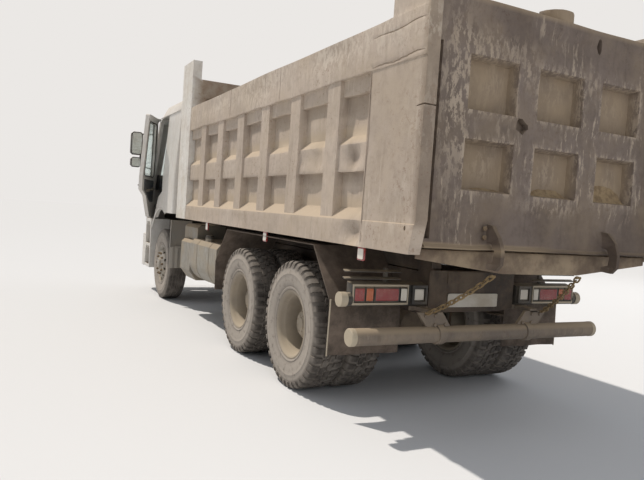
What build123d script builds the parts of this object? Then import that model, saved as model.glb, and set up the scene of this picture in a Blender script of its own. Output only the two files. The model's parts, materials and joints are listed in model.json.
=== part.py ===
from build123d import *
import os
from math import cos, pi, sin

# Three-axle tipper truck, cab over engine, with a ribbed steel body and a top-hung tailgate.
# Millimetres. X is forward, Y is left and Z is up. The origin is on the ground under the
# middle of the truck. The left door is modelled ajar, everything else at rest.

# Axles and tyres
REAR_AXLE_X = -2325
MID_AXLE_X = REAR_AXLE_X + 1360
FRONT_AXLE_X = MID_AXLE_X + 3800
TYRE_R = 562
TYRE_W = 308
TWIN_OUT_Y = 1038
TWIN_IN_Y = 692
FRONT_Y = 1024
KINGPIN_Y = 850
RIM_R = 277
TYRE_FLATS = 24
RIM_FLATS = 14
HUB_CENTRE_R = 12
AXLE_Z = TYRE_R

# Ladder frame and tipping subframe
RAIL_OUT_Y = 388
RAIL_FLANGE = 80
RAIL_T = 12
RAIL_BOTTOM_Z = 785
RAIL_TOP_Z = 1055
RAIL_REAR_X = -3310
RAIL_FRONT_X = 4020
SUB_TOP_Z = 1135

# Body: the sides' outer face, their inner face, and the heights of the rails
SIDE_OUT_Y = 1220
SIDE_IN_Y = 1125
BED_FRONT_X = 1285
BED_REAR_X = -4150
SIDE_BOTTOM_Z = 1340
SIDE_TOP_Z = 2880
FLOOR_Z = 1440
FLOOR_T = 12
RIB_PITCH = 716
RIB_COUNT = 6
RIB_FIRST_X = -2945
RIB_W = 215
REAR_PANEL_X = -3505
EAR_FRONT_X = -3735
EAR_TOP_Z = 3150
TIP_X = -3235
TIP_Z = 1190

# Headboard, which stands forward of the sides as a deep open frame
HEAD_REAR_X = 1300
HEAD_FRONT_X = 1825
HEAD_TOP_Z = 3540
HEAD_BEAM_TOP_Z = 3290
HEAD_SHEET_X = 1362
HEAD_IN_Y = 1095

# Tailgate between the rear posts, hung from pins in the ears
GATE_REAR_X = -4085
GATE_FRONT_X = -3975
GATE_HALF = 1115
GATE_BOTTOM_Z = 1385
GATE_TOP_Z = 3010
GATE_PIN_X = -3960
GATE_PIN_Z = 3065
GATE_LUG_R = 138

# Front hoist: its cover hangs on trunnions on the body and its foot stands on the frame
HOIST_X = 1600
TRUNNION_Z = 1620
FOOT_Z = 950
HOIST_FLATS = 12
HOIST_TUBE_LENGTH = 1400

# Underrun bar and lamps
UNDERRUN_X = -3486
UNDERRUN_Z = 690
LAMP_REAR_X = -3336
CHAIN_LINKS = 9
LINK_LENGTH = 95
LINK_WIRE = 13

# Cab
CAB_HALF = 1225
CAB_REAR_X = 2035
CAB_FRONT_X = 4110
CAB_BOTTOM_Z = 1000
CAB_SIDE_Z = 1390
CAB_WALL = 60
ARCH_R = 660
ARCH_Z = 790
DOOR_HINGE_X = 3627
DOOR_GAP = 10
DOOR_OPEN_DEG = 26
CAB_FLOOR_Z = 1500
TUNNEL_Z = 1740

SIDES = (1, -1)
SIDE_NAMES = {1: "left", -1: "right"}

PLACES = {
    "X": lambda at: Plane(origin=(at, 0, 0), x_dir=(0, 1, 0), z_dir=(1, 0, 0)),
    "Y": lambda at: Plane(origin=(0, at, 0), x_dir=(1, 0, 0), z_dir=(0, -1, 0)),
    "Z": lambda at: Plane(origin=(0, 0, at), x_dir=(1, 0, 0), z_dir=(0, 0, 1)),
}
ALONG = {"X": (1, 0, 0), "Y": (0, 1, 0), "Z": (0, 0, 1)}


def block(x, y, z):
    """A box between the two values given for each axis."""
    size = (abs(x[1] - x[0]), abs(y[1] - y[0]), abs(z[1] - z[0]))
    return Pos((x[0] + x[1]) / 2, (y[0] + y[1]) / 2, (z[0] + z[1]) / 2) * Box(*size)


def sheet(points):
    """A flat outline from its corners."""
    return make_face(Polyline(*points, close=True))


def carry(face, axis, low, high):
    """A flat outline carried straight along an axis. Its own coordinates are the other two axes in order."""
    return extrude(PLACES[axis](low) * face, amount=high - low, dir=ALONG[axis])


def slab(points, axis, low, high):
    """An outline given by its corners, carried straight along an axis."""
    return carry(sheet(points), axis, low, high)


def rod(start, end, radius):
    """A round pin or hole, where something turns."""
    a, b = Vector(*start), Vector(*end)
    axis = b - a
    return Plane(origin=(a + b) / 2, z_dir=axis) * Cylinder(radius, axis.length)


def bar(start, end, radius, flats=8):
    """A straight tube or rod of many flats, where nothing turns."""
    a, b = Vector(*start), Vector(*end)
    return extrude(Plane(origin=a, z_dir=b - a) * RegularPolygon(radius, flats), amount=(b - a).length)


def stacked(rings):
    """A loft of flat faces through rings of matching corners. Matching edges run parallel."""
    faces = [sheet(rings[0]), sheet(rings[-1])]
    for near, far in zip(rings, rings[1:]):
        for a, b, c, d in zip(near, near[1:] + near[:1], far[1:] + far[:1], far):
            faces.append(sheet([a, b, c, d]))
    return Solid(Shell([flat for face in faces for flat in face.faces()]))


def drum(stations, flats, axis="Y"):
    """A many-sided drum resting on a flat. Its stations are (radius to the flats, place along the axis)."""
    angles = [2 * pi * (i + 0.5) / flats for i in range(flats)]
    rings = []
    for flat_r, place in stations:
        r = flat_r / cos(pi / flats)
        rings.append([PLACES[axis](place).from_local_coords((r * cos(a), r * sin(a), 0)) for a in angles])
    return stacked(rings)


def both_sides(shape):
    """A left-hand piece and its mirror image."""
    return [shape, mirror(shape, about=Plane.XZ)]


def save(name, shapes):
    """Write one node from one shape or a list of separate shapes."""
    shapes = shapes if isinstance(shapes, list) else [shapes]
    solids = [s for shape in shapes for s in shape.solids()]
    shape = solids[0] if len(solids) == 1 else Compound(children=solids)
    shape.label = name
    export_step(shape, f"parts/{name}.step")


# Ladder frame


def chassis_frame():
    """Two channels joined by cross members, with the flat rear cross panel and its blank plate holder."""
    inner = RAIL_OUT_Y - RAIL_FLANGE
    channel = [
        (RAIL_OUT_Y, RAIL_BOTTOM_Z),
        (RAIL_OUT_Y, RAIL_TOP_Z),
        (inner, RAIL_TOP_Z),
        (inner, RAIL_TOP_Z - RAIL_T),
        (RAIL_OUT_Y - RAIL_T, RAIL_TOP_Z - RAIL_T),
        (RAIL_OUT_Y - RAIL_T, RAIL_BOTTOM_Z + RAIL_T),
        (inner, RAIL_BOTTOM_Z + RAIL_T),
        (inner, RAIL_BOTTOM_Z),
    ]
    rail = slab(channel, "X", RAIL_REAR_X, RAIL_FRONT_X)
    web = RAIL_OUT_Y - RAIL_T
    frame = rail + mirror(rail, about=Plane.XZ)
    # columns: centre x, half length, bottom z, top z
    cross = [
        (-2950, 40, 850, 1000),
        (REAR_AXLE_X + 680, 90, 800, 1040),
        (-600, 40, 850, 1000),
        (300, 40, 850, 1000),
        (1150, 40, 850, 1000),
        (2050, 40, 820, 960),
        (3950, 50, 800, 1040),
    ]
    for x, half, low, high in cross:
        frame += block((x - half, x + half), (-web, web), (low, high))
    panel = [(-445, 860), (-445, 1165), (445, 1165), (445, 860), (300, 830), (-300, 830)]
    panel_back = RAIL_REAR_X - 14
    frame += slab(panel, "X", panel_back, RAIL_REAR_X)
    frame += block((panel_back - 10, panel_back), (-290, 270), (1062, 1158))
    return frame


def tipper_subframe():
    """Box runners on the rails, cross ties and the hinge ears with their pins."""
    inner = RAIL_OUT_Y - RAIL_FLANGE
    frame = block((TIP_X - 55, 1250), (inner, RAIL_OUT_Y), (RAIL_TOP_Z, SUB_TOP_Z))
    frame += mirror(frame, about=Plane.XZ)
    for x in (-2900, -1600, -200, 1180):
        frame += block((x - 35, x + 35), (-inner, inner), (RAIL_TOP_Z + 10, SUB_TOP_Z - 10))
    low, high = RAIL_TOP_Z + 20, TIP_Z + 45
    outline = [(TIP_X - 70, low), (TIP_X + 150, low), (TIP_X + 60, high), (TIP_X - 60, high)]
    ear = slab(outline, "Y", RAIL_OUT_Y, RAIL_OUT_Y + 25)
    ear += rod((TIP_X, RAIL_OUT_Y - 90, TIP_Z), (TIP_X, RAIL_OUT_Y + 25, TIP_Z), 28)
    return frame + ear + mirror(ear, about=Plane.XZ)


def hoist_footing():
    """The cross beam and two cheeks that take the hoist's foot."""
    web = RAIL_OUT_Y - RAIL_T
    beam_top = 890
    foot = block((HOIST_X - 110, HOIST_X + 110), (-web, web), (800, beam_top))
    top = FOOT_Z + 45
    cheek = [(HOIST_X - 90, beam_top), (HOIST_X + 90, beam_top), (HOIST_X + 45, top), (HOIST_X - 45, top)]
    for side in SIDES:
        foot += slab(cheek, "Y", side * 70, side * 92)
    return foot


def front_axle_beam():
    """The dropped beam between the kingpins."""
    top, drop, boss = AXLE_Z + 60, AXLE_Z - 90, AXLE_Z - 55
    half = KINGPIN_Y - 62
    right = [(0, drop), (520, drop), (half - 60, boss), (half, boss)]
    right += [(half, top), (half - 90, top), (540, drop + 110)]
    left = [(-y, z) for y, z in reversed(right[1:])]
    return slab(right + left, "X", FRONT_AXLE_X - 50, FRONT_AXLE_X + 50)


def drive_axle(x):
    """An axle tube with the drum of its differential, which faces forward."""
    tube = Pos(x, 0, AXLE_Z) * drum([(62, -520), (62, 520)], 8)
    bowl = drum([(120, -190), (205, -90), (205, 90), (130, 190)], 12, "X")
    return tube + Pos(x, 0, AXLE_Z) * bowl


def leaf_pack(x, y, half, z_low, z_mid, thick, leaves):
    """Stacked leaves as one arched pack along the truck, each leaf shorter than the one above it."""
    knee = 0.45
    each = thick / leaves
    pack = None
    for i in range(leaves):
        reach = half * (1 - 0.13 * i)
        bottom = z_mid + thick - (i + 1) * each
        end = bottom + (z_low - z_mid) * (reach / half - knee) / (1 - knee)
        leaf = slab(
            [
                (x - reach, end), (x - half * knee, bottom), (x + half * knee, bottom), (x + reach, end),
                (x + reach, end + each), (x + half * knee, bottom + each), (x - half * knee, bottom + each),
                (x - reach, end + each),
            ],
            "Y", y - 40, y + 40,
        )
        pack = leaf if pack is None else pack + leaf
    return pack


def leaf_springs():
    """Front packs over the beam and the tandem's pair of packs on their centre saddle."""
    packs = []
    mid = (REAR_AXLE_X + MID_AXLE_X) / 2
    low = RAIL_BOTTOM_Z + 40
    saddle = [(mid - 190, low), (mid + 190, low), (mid + 90, AXLE_Z + 60), (mid - 90, AXLE_Z + 60)]
    for side in SIDES:
        packs.append(leaf_pack(FRONT_AXLE_X, side * 350, 760, 700, AXLE_Z + 22, 70, 3))
        rear = leaf_pack(mid, side * 450, 700, AXLE_Z + 66, AXLE_Z + 150, 120, 4)
        packs.append(rear + slab(saddle, "Y", side * 390, side * 412))
    return packs


def driveline():
    """Gearbox behind the engine, the propeller shaft and the short shaft between the drive axles."""
    case = [(1740, 620), (1740, 800), (2100, 815), (2540, 1100), (2540, 560), (2100, 580)]
    gearbox = slab(case, "Y", -190, 190)
    long_shaft = bar((MID_AXLE_X + 196, 0, AXLE_Z + 40), (1735, 0, 700), 55)
    short_shaft = bar((REAR_AXLE_X + 196, 0, AXLE_Z + 20), (MID_AXLE_X - 196, 0, AXLE_Z + 20), 45)
    return [gearbox, long_shaft, short_shaft]


def engine_block():
    """The engine as one plain mass between the rails, under the cab."""
    return block((2545, 3700), (-290, 290), (700, 1580))


# Wheels. Stations along an axle are outboard positive.


def tyre(x, y):
    """A plain tubeless tyre: full sidewalls, square shoulders and an open bore."""
    # columns: radius, share of the width
    outside = [(RIM_R + 8, -0.36), (455, -0.5), (TYRE_R, -0.42)]
    outside += [(r, -share) for r, share in reversed(outside)]
    casing = drum([(r, share * TYRE_W) for r, share in outside], TYRE_FLATS)
    bore = drum([(RIM_R + 8, -TYRE_W), (RIM_R + 8, TYRE_W)], TYRE_FLATS)
    return Pos(x, y, AXLE_Z) * (casing - bore)


def rim(x, y, opens, depth):
    """A rim as one deep dish, open towards the side given, with its disc that far behind the centre line."""
    half, wall = 116, 24
    # columns: radius, place behind the centre line
    outside = [(200, depth), (RIM_R, half), (RIM_R, -half)]
    hollow = [(186, depth - 14), (RIM_R - wall, half - 40), (RIM_R - wall, -half - 5)]
    dish = drum([(r, -opens * w) for r, w in outside], RIM_FLATS)
    dish -= drum([(r, -opens * w) for r, w in hollow], RIM_FLATS)
    return Pos(x, y, AXLE_Z) * dish


def hub(x, y, side, length, radius):
    """A stepped hub along the axle, outboard from y, with the round centre that its axle turns in."""
    steps = [(radius + 20, 0), (radius, 60), (radius - 15, length)]
    boss = drum([(r, side * w) for r, w in steps], 12)
    boss -= rod((0, side * (length - 25), 0), (0, side * (length + 5), 0), HUB_CENTRE_R)
    return Pos(x, y, AXLE_Z) * boss


def twin_wheels(name, x, side):
    """Two tyres and two rims on one hub, their discs back to back."""
    save(f"tyres_{name}", [tyre(x, side * TWIN_OUT_Y), tyre(x, side * TWIN_IN_Y)])
    depth = (TWIN_OUT_Y - TWIN_IN_Y) / 2
    outer = rim(x, side * TWIN_OUT_Y, side, depth)
    inner = rim(x, side * TWIN_IN_Y, -side, depth)
    save(f"rims_{name}", outer + inner + hub(x, side * 530, side, 590, 92))


def front_wheel(side):
    """One steered wheel with its disc bulging outboard."""
    name = f"front_{SIDE_NAMES[side]}"
    save(f"tyre_{name}", tyre(FRONT_AXLE_X, side * FRONT_Y))
    wheel = rim(FRONT_AXLE_X, side * FRONT_Y, -side, 150)
    save(f"rim_{name}", wheel + hub(FRONT_AXLE_X, side * (FRONT_Y + 10), side, 188, 88))


def knuckle(side):
    """Kingpin boss, stub and steering arm inside a front wheel."""
    x, y = FRONT_AXLE_X, side * KINGPIN_Y
    boss = rod((x, y, AXLE_Z - 110), (x, y, AXLE_Z + 115), 48)
    stub = bar((x, y, AXLE_Z), (x, side * (FRONT_Y + 5), AXLE_Z), 45, 12)
    arm = [(x - 260, y - 18), (x - 260, y + 18), (x, y + 30), (x, y - 30)]
    return boss + stub + slab(arm, "Z", AXLE_Z - 95, AXLE_Z - 65)


# Things on the frame


def front_bumper():
    """Full-width bumper with lamp recesses, their back plates, a cross bar, and step boxes below the doors."""
    rear_x, wall_x, wall_y = 3905, 4190, 1160
    low_z, floor_z, high_z = 420, 500, 975
    # half of the outline from above, columns: x, y
    half_plan = [(4275, 0), (4275, 700), (4245, 1090), (4190, 1190), (4110, CAB_HALF), (rear_x, CAB_HALF)]
    plan = half_plan + [(x, -y) for x, y in reversed(half_plan[1:])]
    shell = slab(plan, "Z", low_z, high_z)
    shell -= block((rear_x - 5, wall_x), (-wall_y, wall_y), (floor_z, high_z + 10))
    chamfer_top = [(4300, 900), (4300, 985), (4215, 985)]
    shell -= slab(chamfer_top, "Y", -CAB_HALF, CAB_HALF)
    air = [(-560, 560), (-520, 640), (520, 640), (560, 560)]
    shell -= slab(air, "X", wall_x + 10, 4300)
    pieces = [block((wall_x - 170, wall_x), (-RAIL_OUT_Y, RAIL_OUT_Y), (800, 860))]
    steps = [(3500, low_z), (rear_x, low_z), (rear_x, high_z), (3880, 1262), (3500, 1262)]
    for side in SIDES:
        shell -= block((4100, 4300), (side * 760, side * 1130), (600, 840))
        pieces.append(block((4096, 4130), (side * 740, side * wall_y), (floor_z, high_z)))
        box = slab(steps, "Y", side * 900, side * CAB_HALF)
        for low, high in ((470, 780), (830, 1200)):
            tread = [(3540, low), (3870, low), (3870, high - 60)]
            tread += [(3820, high), (3590, high), (3540, high - 60)]
            box -= slab(tread, "Y", side * 960, side * (CAB_HALF + 10))
        pieces.append(box)
    return [shell, *pieces]


def headlamps():
    """Two lamp units in the bumper's recesses, each with a rounded outboard corner."""
    lamps = []
    for side in SIDES:
        plan = [(4131, 770), (4240, 770), (4232, 980), (4205, 1060), (4170, 1080), (4131, 1080)]
        lamps.append(slab([(x, side * y) for x, y in plan], "Z", 612, 828))
    return lamps


def fuel_tank():
    """Tank with rounded edges, held by two straps on brackets, with its filler neck."""
    x0, x1 = -140, 1030
    low, high, out, inn = 530, 1090, 1190, 560
    # a quarter arc of flats round the outer lower edge
    belly_r, flats = 250, 6
    belly = [
        (out - belly_r + belly_r * sin(a), low + belly_r - belly_r * cos(a))
        for a in [pi / 2 * i / flats for i in range(flats + 1)]
    ]
    section = [(inn + 40, low), *belly, (out, high - 60), (out - 50, high), (inn + 50, high)]
    section += [(inn, high - 50), (inn, low + 40)]
    tank = slab(section, "X", x0, x1)
    centre_y, centre_z = (out + inn) / 2, (high + low) / 2
    for x in (190, 720):
        band = [(centre_y + (y - centre_y) * 1.012, centre_z + (z - centre_z) * 1.012) for y, z in section]
        tank += slab(band, "X", x - 25, x + 25)
        tank += block((x - 25, x + 25), (RAIL_OUT_Y, inn + 30), (900, 1020))
    return tank + bar((470, 1095, high - 5), (470, 1095, high + 42), 52, 10)


def air_tank(y):
    """A compressed-air tank with domed ends, lying along the frame."""
    return Pos(0, y, 955) * drum([(70, -130), (122, -95), (122, 415), (70, 450)], 12, "X")


def side_boxes():
    """Urea tank and control box ahead of the fuel tank; battery box, silencer and air tanks opposite."""
    urea_form = [(600, 510), (600, 1060), (1140, 1060), (1180, 1020), (1180, 640), (1080, 510)]
    urea = slab(urea_form, "X", 1060, 1560)
    urea += block((1150, 1450), (RAIL_OUT_Y, 610), (900, 1000))
    control = slab([(700, 1066), (700, 1270), (1060, 1270), (1100, 1230), (1100, 1066)], "X", 1040, 1700)
    control += block((1200, 1400), (RAIL_OUT_Y, 710), (1080, 1140))
    battery = slab([(-560, 560), (-560, 1080), (-1140, 1080), (-1180, 1030), (-1180, 560)], "X", 900, 1560)
    battery += block((1000, 1400), (-570, -RAIL_OUT_Y), (850, 1000))
    muffler = [(-520, 560), (-520, 1060), (-560, 1090), (-1110, 1090)]
    muffler += [(-1150, 1050), (-1150, 570), (-1100, 520), (-560, 520)]
    silencer = slab(muffler, "X", 480, 880)
    silencer += block((600, 800), (-530, -RAIL_OUT_Y), (900, 1000))
    air = air_tank(-1030) + air_tank(-770)
    for x in (40, 280):
        air += block((x - 20, x + 20), (-1040, -RAIL_OUT_Y), (1040, 1100))
    return [urea, control, battery, silencer, air]


def front_wheel_guards():
    """The upright rear halves of the front mudguards: a bowed cover above a ribbed flap."""
    guards = []
    cover = [(2155, 880), (2172, 880), (2172, 1120), (2130, 1215), (2090, 1228)]
    cover += [(2082, 1212), (2116, 1196), (2155, 1110)]
    ribs, rib_depth, flap_from, flap_to = 4, 14, 890, 1205
    pitch = (flap_to - flap_from) / ribs
    flap_back = [(2136 - rib_depth * (i % 2), flap_from + pitch / 2 * i) for i in range(2 * ribs + 1)]
    flap = [(2150, flap_from), (2150, flap_to), *reversed(flap_back)]
    for side in SIDES:
        guard = slab([(x, side * y) for x, y in cover], "Z", 880, 1290)
        guard += slab([(x, side * y) for x, y in flap], "Z", 560, 890)
        guard += block((2120, 2172), (side * 890, side * 1130), (870, 895))
        guard += block((2040, 2160), (side * RAIL_OUT_Y, side * 900), (1000, 1030))
        guards.append(guard)
    return guards


def bogie_mudguards():
    """Faceted plates over the tandem on each side, open below, with the flap behind the rear wheels."""
    # columns: x and z along the sheet, from its front lower edge over the tyres to the rear lower edge
    path = [(-175, 560), (-145, 900), (-515, 1300), (-2745, 1300), (-3090, 890), (-3105, 585)]
    plate = 8
    guards = []
    for side in SIDES:
        guard = None
        for (xa, za), (xb, zb) in zip(path, path[1:]):
            run = Vector(xb - xa, 0, zb - za).normalized()
            nx, nz = run.Z * plate, -run.X * plate
            outline = [(xa, za), (xb, zb), (xb - nx, zb - nz), (xa - nx, za - nz)]
            piece = slab(outline, "Y", side * 545, side * 1200)
            guard = piece if guard is None else guard + piece
        for x in (-1000, -2300):
            guard += block((x - 30, x + 30), (side * RAIL_OUT_Y, side * 560), (1250, 1296))
        guard += block((-3118, -3106), (side * 560, side * 1205), (470, 900))
        guards.append(guard)
    return guards


def underrun_bar():
    """Round tube across the rear with a collar at each sloping bracket."""
    tube = bar((UNDERRUN_X, -1245, UNDERRUN_Z), (UNDERRUN_X, 1245, UNDERRUN_Z), 64, 12)
    for side in SIDES:
        tube += bar((UNDERRUN_X, side * 420, UNDERRUN_Z), (UNDERRUN_X, side * 480, UNDERRUN_Z), 76, 12)
        strap = [(330, UNDERRUN_Z + 40), (560, UNDERRUN_Z + 40), (660, 862), (430, 862)]
        tube += slab([(side * y, z) for y, z in strap], "X", -3500, -3470)
        tube += block((-3500, -3324), (side * 480, side * 560), (850, 880))
        tube += block((-3324, -3312), (side * 445, side * 620), (850, 880))
    return tube


def tail_lamps():
    """Lamp boxes with raised lenses, two slats above each and the stub of the cross tube outboard."""
    lamps = []
    # columns: lens's outboard y, its inboard y
    lenses = [(1135, 1042), (1034, 966), (958, 732), (724, 664), (616, 486)]
    for side in SIDES:
        housing = [(LAMP_REAR_X, 905), (LAMP_REAR_X, 1045), (-3250, 1065), (-3250, 885), (-3316, 885)]
        lamp = slab(housing, "Y", side * 470, side * 1150)
        for outer, inner in lenses:
            lamp += slab(
                [(LAMP_REAR_X, 915), (LAMP_REAR_X - 9, 922), (LAMP_REAR_X - 9, 1028), (LAMP_REAR_X, 1035)],
                "Y", side * inner, side * outer,
            )
        lamp += bar((-3300, side * 1145, 936), (-3300, side * 1240, 936), 52, 12)
        lamp += block((-3250, -3180), (side * 700, side * 740), (940, 1010))
        lamp += block((-3262, -3240), (side * 800, side * 830), (1060, 1170))
        for z in (1095, 1150):
            slat = [(-3300, z - 12), (-3262, z), (-3262, z + 7), (-3300, z - 5)]
            lamp += slab(slat, "Y", side * 700, side * 1200)
        lamps.append(lamp)
    return lamps


def link_outline(reach, shoulder, middle):
    """A stretched hexagon: its half length, its half width at the ends and at the middle."""
    half = [(-reach, -shoulder), (-reach, shoulder), (0, middle)]
    return sheet(half + [(-x, -y) for x, y in half])


def chain_link(start, end, flat):
    """One link from joint to joint: a stretched six-sided ring, upright or lying flat."""
    along = (end - start).normalized()
    across = along.cross(Vector(0, 0, 1)).normalized()
    normal = along.cross(across).normalized() if flat else across
    plane = Plane(origin=(start + end) / 2 - normal * (LINK_WIRE / 2), x_dir=along, z_dir=normal)
    ring = link_outline(LINK_LENGTH / 2, 14, 27)
    ring -= link_outline(LINK_LENGTH / 2 - LINK_WIRE, 8, 27 - LINK_WIRE)
    return extrude(plane * ring, amount=LINK_WIRE)


def tailgate_chains():
    """A slack chain each side from the bar's bracket up to the body's apron, its links turned by turns."""
    links = []
    sag = 22
    for side in SIDES:
        start, end = Vector(-3528, side * 592, 862), Vector(-4000, side * 425, 1200)
        joints = []
        for i in range(CHAIN_LINKS + 1):
            share = i / CHAIN_LINKS
            joints.append(start + (end - start) * share - Vector(0, 0, sag * 4 * share * (1 - share)))
        links += [chain_link(joints[i], joints[i + 1], i % 2 == 0) for i in range(CHAIN_LINKS)]
    return links


# Cab

# columns: height, rear x, front x, half width, front corner's radius, rear corner's radius
CAB_SECTIONS = [
    (940, CAB_REAR_X, CAB_FRONT_X, CAB_HALF, 200, 40),
    (1760, CAB_REAR_X, CAB_FRONT_X, CAB_HALF, 200, 40),
    (1930, CAB_REAR_X, 3990, CAB_HALF, 230, 40),
    (2860, CAB_REAR_X, 3735, 1172, 260, 40),
    (2965, CAB_REAR_X, 3530, 1166, 240, 40),
    (3110, CAB_REAR_X + 30, 3370, 1112, 200, 60),
    (3178, CAB_REAR_X + 115, 3270, 1000, 150, 80),
]
SCREEN_OUTLINE = [(-1020, 1990), (-975, 2790), (975, 2790), (1020, 1990)]
DOOR_FRONT_X = DOOR_HINGE_X - DOOR_GAP
DOOR_OUTLINE = [
    (DOOR_FRONT_X, 1290), (DOOR_FRONT_X, 2060), (3400, 2915), (3370, 2930), (2835, 2930),
    (2815, 2910), (2815, 1730), (3060, 1640), (3330, 1290),
]
WINDOW_OUTLINE = [(3505, 1960), (3350, 2800), (3320, 2830), (2910, 2830), (2890, 2805), (2890, 1960)]


def corner_flats(x, y, radius, start, flats):
    """Points of a quarter-round corner as a few flats, anticlockwise from the start angle."""
    angles = [start + pi / 2 * i / flats for i in range(flats + 1)]
    return [(x + radius * cos(a), y + radius * sin(a)) for a in angles]


def cab_form(inset):
    """The cab's solid form: a loft through its plan sections, each set in by the inset."""
    rings = []
    for z, rear, front, half, front_r, rear_r in CAB_SECTIONS:
        x0, x1, y1 = rear + inset, front - inset, half - inset
        fr, rr = max(front_r - inset, 20), max(rear_r - inset, 10)
        height = z - inset if z > CAB_SECTIONS[3][0] else z
        plan = corner_flats(x0 + rr, -y1 + rr, rr, pi, 2) + corner_flats(x1 - fr, -y1 + fr, fr, 1.5 * pi, 4)
        plan += corner_flats(x1 - fr, y1 - fr, fr, 0, 4) + corner_flats(x0 + rr, y1 - rr, rr, pi / 2, 2)
        rings.append([(x, y, height) for x, y in plan])
    return stacked(rings)


def cab_shell(outer, inner):
    """The cab's walls, roof and visor, with the doors, windscreen and wheel arches cut out."""
    shell = outer - (inner + slab(SCREEN_OUTLINE, "X", 3600, 4300))
    shell -= block((1900, 4300), (-1400, 1400), (600, CAB_BOTTOM_Z))
    opening = offset(sheet(DOOR_OUTLINE), amount=DOOR_GAP, kind=Kind.INTERSECTION)
    low = [(1900, 600), (1900, CAB_SIDE_Z), (FRONT_AXLE_X + 100, CAB_SIDE_Z)]
    low += [(3330, 1280), (3915, 1275), (3915, 600)]
    for side in SIDES:
        shell -= carry(opening, "Y", side * 900, side * 1400)
        shell -= slab(low, "Y", side * 780, side * 1400)
        arch_x = FRONT_AXLE_X + 15
        shell -= bar((arch_x, side * 700, ARCH_Z), (arch_x, side * 1400, ARCH_Z), ARCH_R, 32)
    shell -= block((1900, 2200), (-780, 780), (600, CAB_SIDE_Z))
    shell -= block((4030, 4200), (-880, 880), (1090, 1700))
    visor = [(3700, 2858), (3905, 2770), (3925, 2792), (3880, 2835), (3690, 2900)]
    return shell + slab(visor, "Y", -1040, 1040)


def door(outer, inner, side):
    """A door as thick as the wall, with its window cut, in its closed place."""
    panel = (outer - inner) & slab(DOOR_OUTLINE, "Y", side * 1000, side * 1400)
    return panel - slab(WINDOW_OUTLINE, "Y", side * 900, side * 1400)


def door_glass(glass_layer, side):
    """The pane in the middle of a door's wall, seated in the window."""
    return glass_layer & slab(WINDOW_OUTLINE, "Y", side * 900, side * 1400)


def swung(shape, side):
    """The left door turned ajar about its hinge. The right one stays closed."""
    if side < 0:
        return shape
    hinge = Axis((DOOR_HINGE_X, CAB_HALF, 0), (0, 0, 1))
    return shape.rotate(hinge, -DOOR_OPEN_DEG)


def cab_floor(core):
    """Cab floor either side of the raised tunnel that covers the engine."""
    low, high, tunnel = CAB_FLOOR_Z - 40, CAB_FLOOR_Z, TUNNEL_Z
    above = [(-1165, low), (-1165, high), (-440, high), (-440, tunnel)]
    above += [(440, tunnel), (440, high), (1165, high)]
    below = [(1165, low), (400, low), (400, tunnel - 40), (-400, tunnel - 40), (-400, low)]
    return slab(above + below, "X", CAB_REAR_X + 60, 4060) & core


def steering_wheel():
    """A many-sided rim with its spoke bar, on a raked column."""
    rim_r, grip = 225, 16
    ring = drum([(rim_r + grip, -grip), (rim_r + grip, grip)], 12, "X")
    ring -= drum([(rim_r - grip, -grip - 5), (rim_r - grip, grip + 5)], 12, "X")
    ring += Box(12, 2 * rim_r, 34)
    ring = Pos(3440, 740, 2080) * Rot(0, 141, 0) * ring
    return ring + bar((3440, 740, 2080), (3660, 740, 1890), 30)


def cab_interior(core):
    """Two seats, the dashboard and the steering wheel on its column."""
    cushion = [(2640, 1770), (3150, 1770), (3170, 1800), (3160, 1890), (2640, 1900)]
    back = [(2640, 1895), (2780, 1890), (2700, 2480), (2680, 2520), (2560, 2520)]
    head = [(2590, 2515), (2670, 2515), (2660, 2700), (2630, 2720), (2570, 2720)]
    pieces = []
    for side in SIDES:
        y = side * 740
        seat = block((2720, 3100), (y - 180, y + 180), (CAB_FLOOR_Z, 1770))
        for outline, half in ((cushion, 250), (back, 240), (head, 130)):
            seat += slab(outline, "Y", y - half, y + half)
        pieces.append(seat)
    board = [(3600, 1800), (3640, 1960), (3760, 2020), (3880, 2020), (4000, 1900), (4000, 1760), (3760, 1760)]
    dash = slab(board, "Y", -1120, 1120) & core
    pieces.append(dash + steering_wheel())
    return pieces


def cab_grille():
    """Front grille panel with its slanted bars between two uprights."""
    face_x = CAB_FRONT_X + 6
    panel = block((CAB_FRONT_X - 50, face_x), (-880, 880), (1090, 1700))
    gap, pitch, uprights = 55, 90, 3
    width = 1680 / uprights
    back_x, front_x = CAB_FRONT_X - 24, face_x + 5
    for z in range(1130, 1660, pitch):
        slot = [(back_x, z), (front_x, z - 12), (front_x, z + gap - 12), (back_x, z + gap)]
        for i in range(uprights):
            low = -840 + width * i
            panel -= slab(slot, "Y", low + 15, low + width - 15)
    return panel


def mirror_head(x, y, z, width, height):
    """A mirror's housing: a flat back towards the driver and a chamfered front."""
    cut, depth = 35, 90
    face = chamfer(Rectangle(width, height).vertices(), cut)
    return carry(Pos(y, z) * face, "X", x, x + depth)


def mirrors():
    """A tall and a small mirror on two arms at each front corner of the cab."""
    pieces = []
    for side in SIDES:
        y = side * 1495
        stem_y = side * 1420
        shape = mirror_head(3700, y, 2525, 190, 390) + mirror_head(3700, y, 2205, 170, 170)
        shape += bar((3745, stem_y, 2150), (3745, stem_y, 2700), 15, 6)
        shape += bar((3745, stem_y, 2690), (3600, side * 1174, 2700), 15, 6)
        shape += bar((3745, stem_y, 2150), (3690, side * 1221, 2100), 15, 6)
        pieces.append(shape)
    return pieces


# Tipping body


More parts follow.
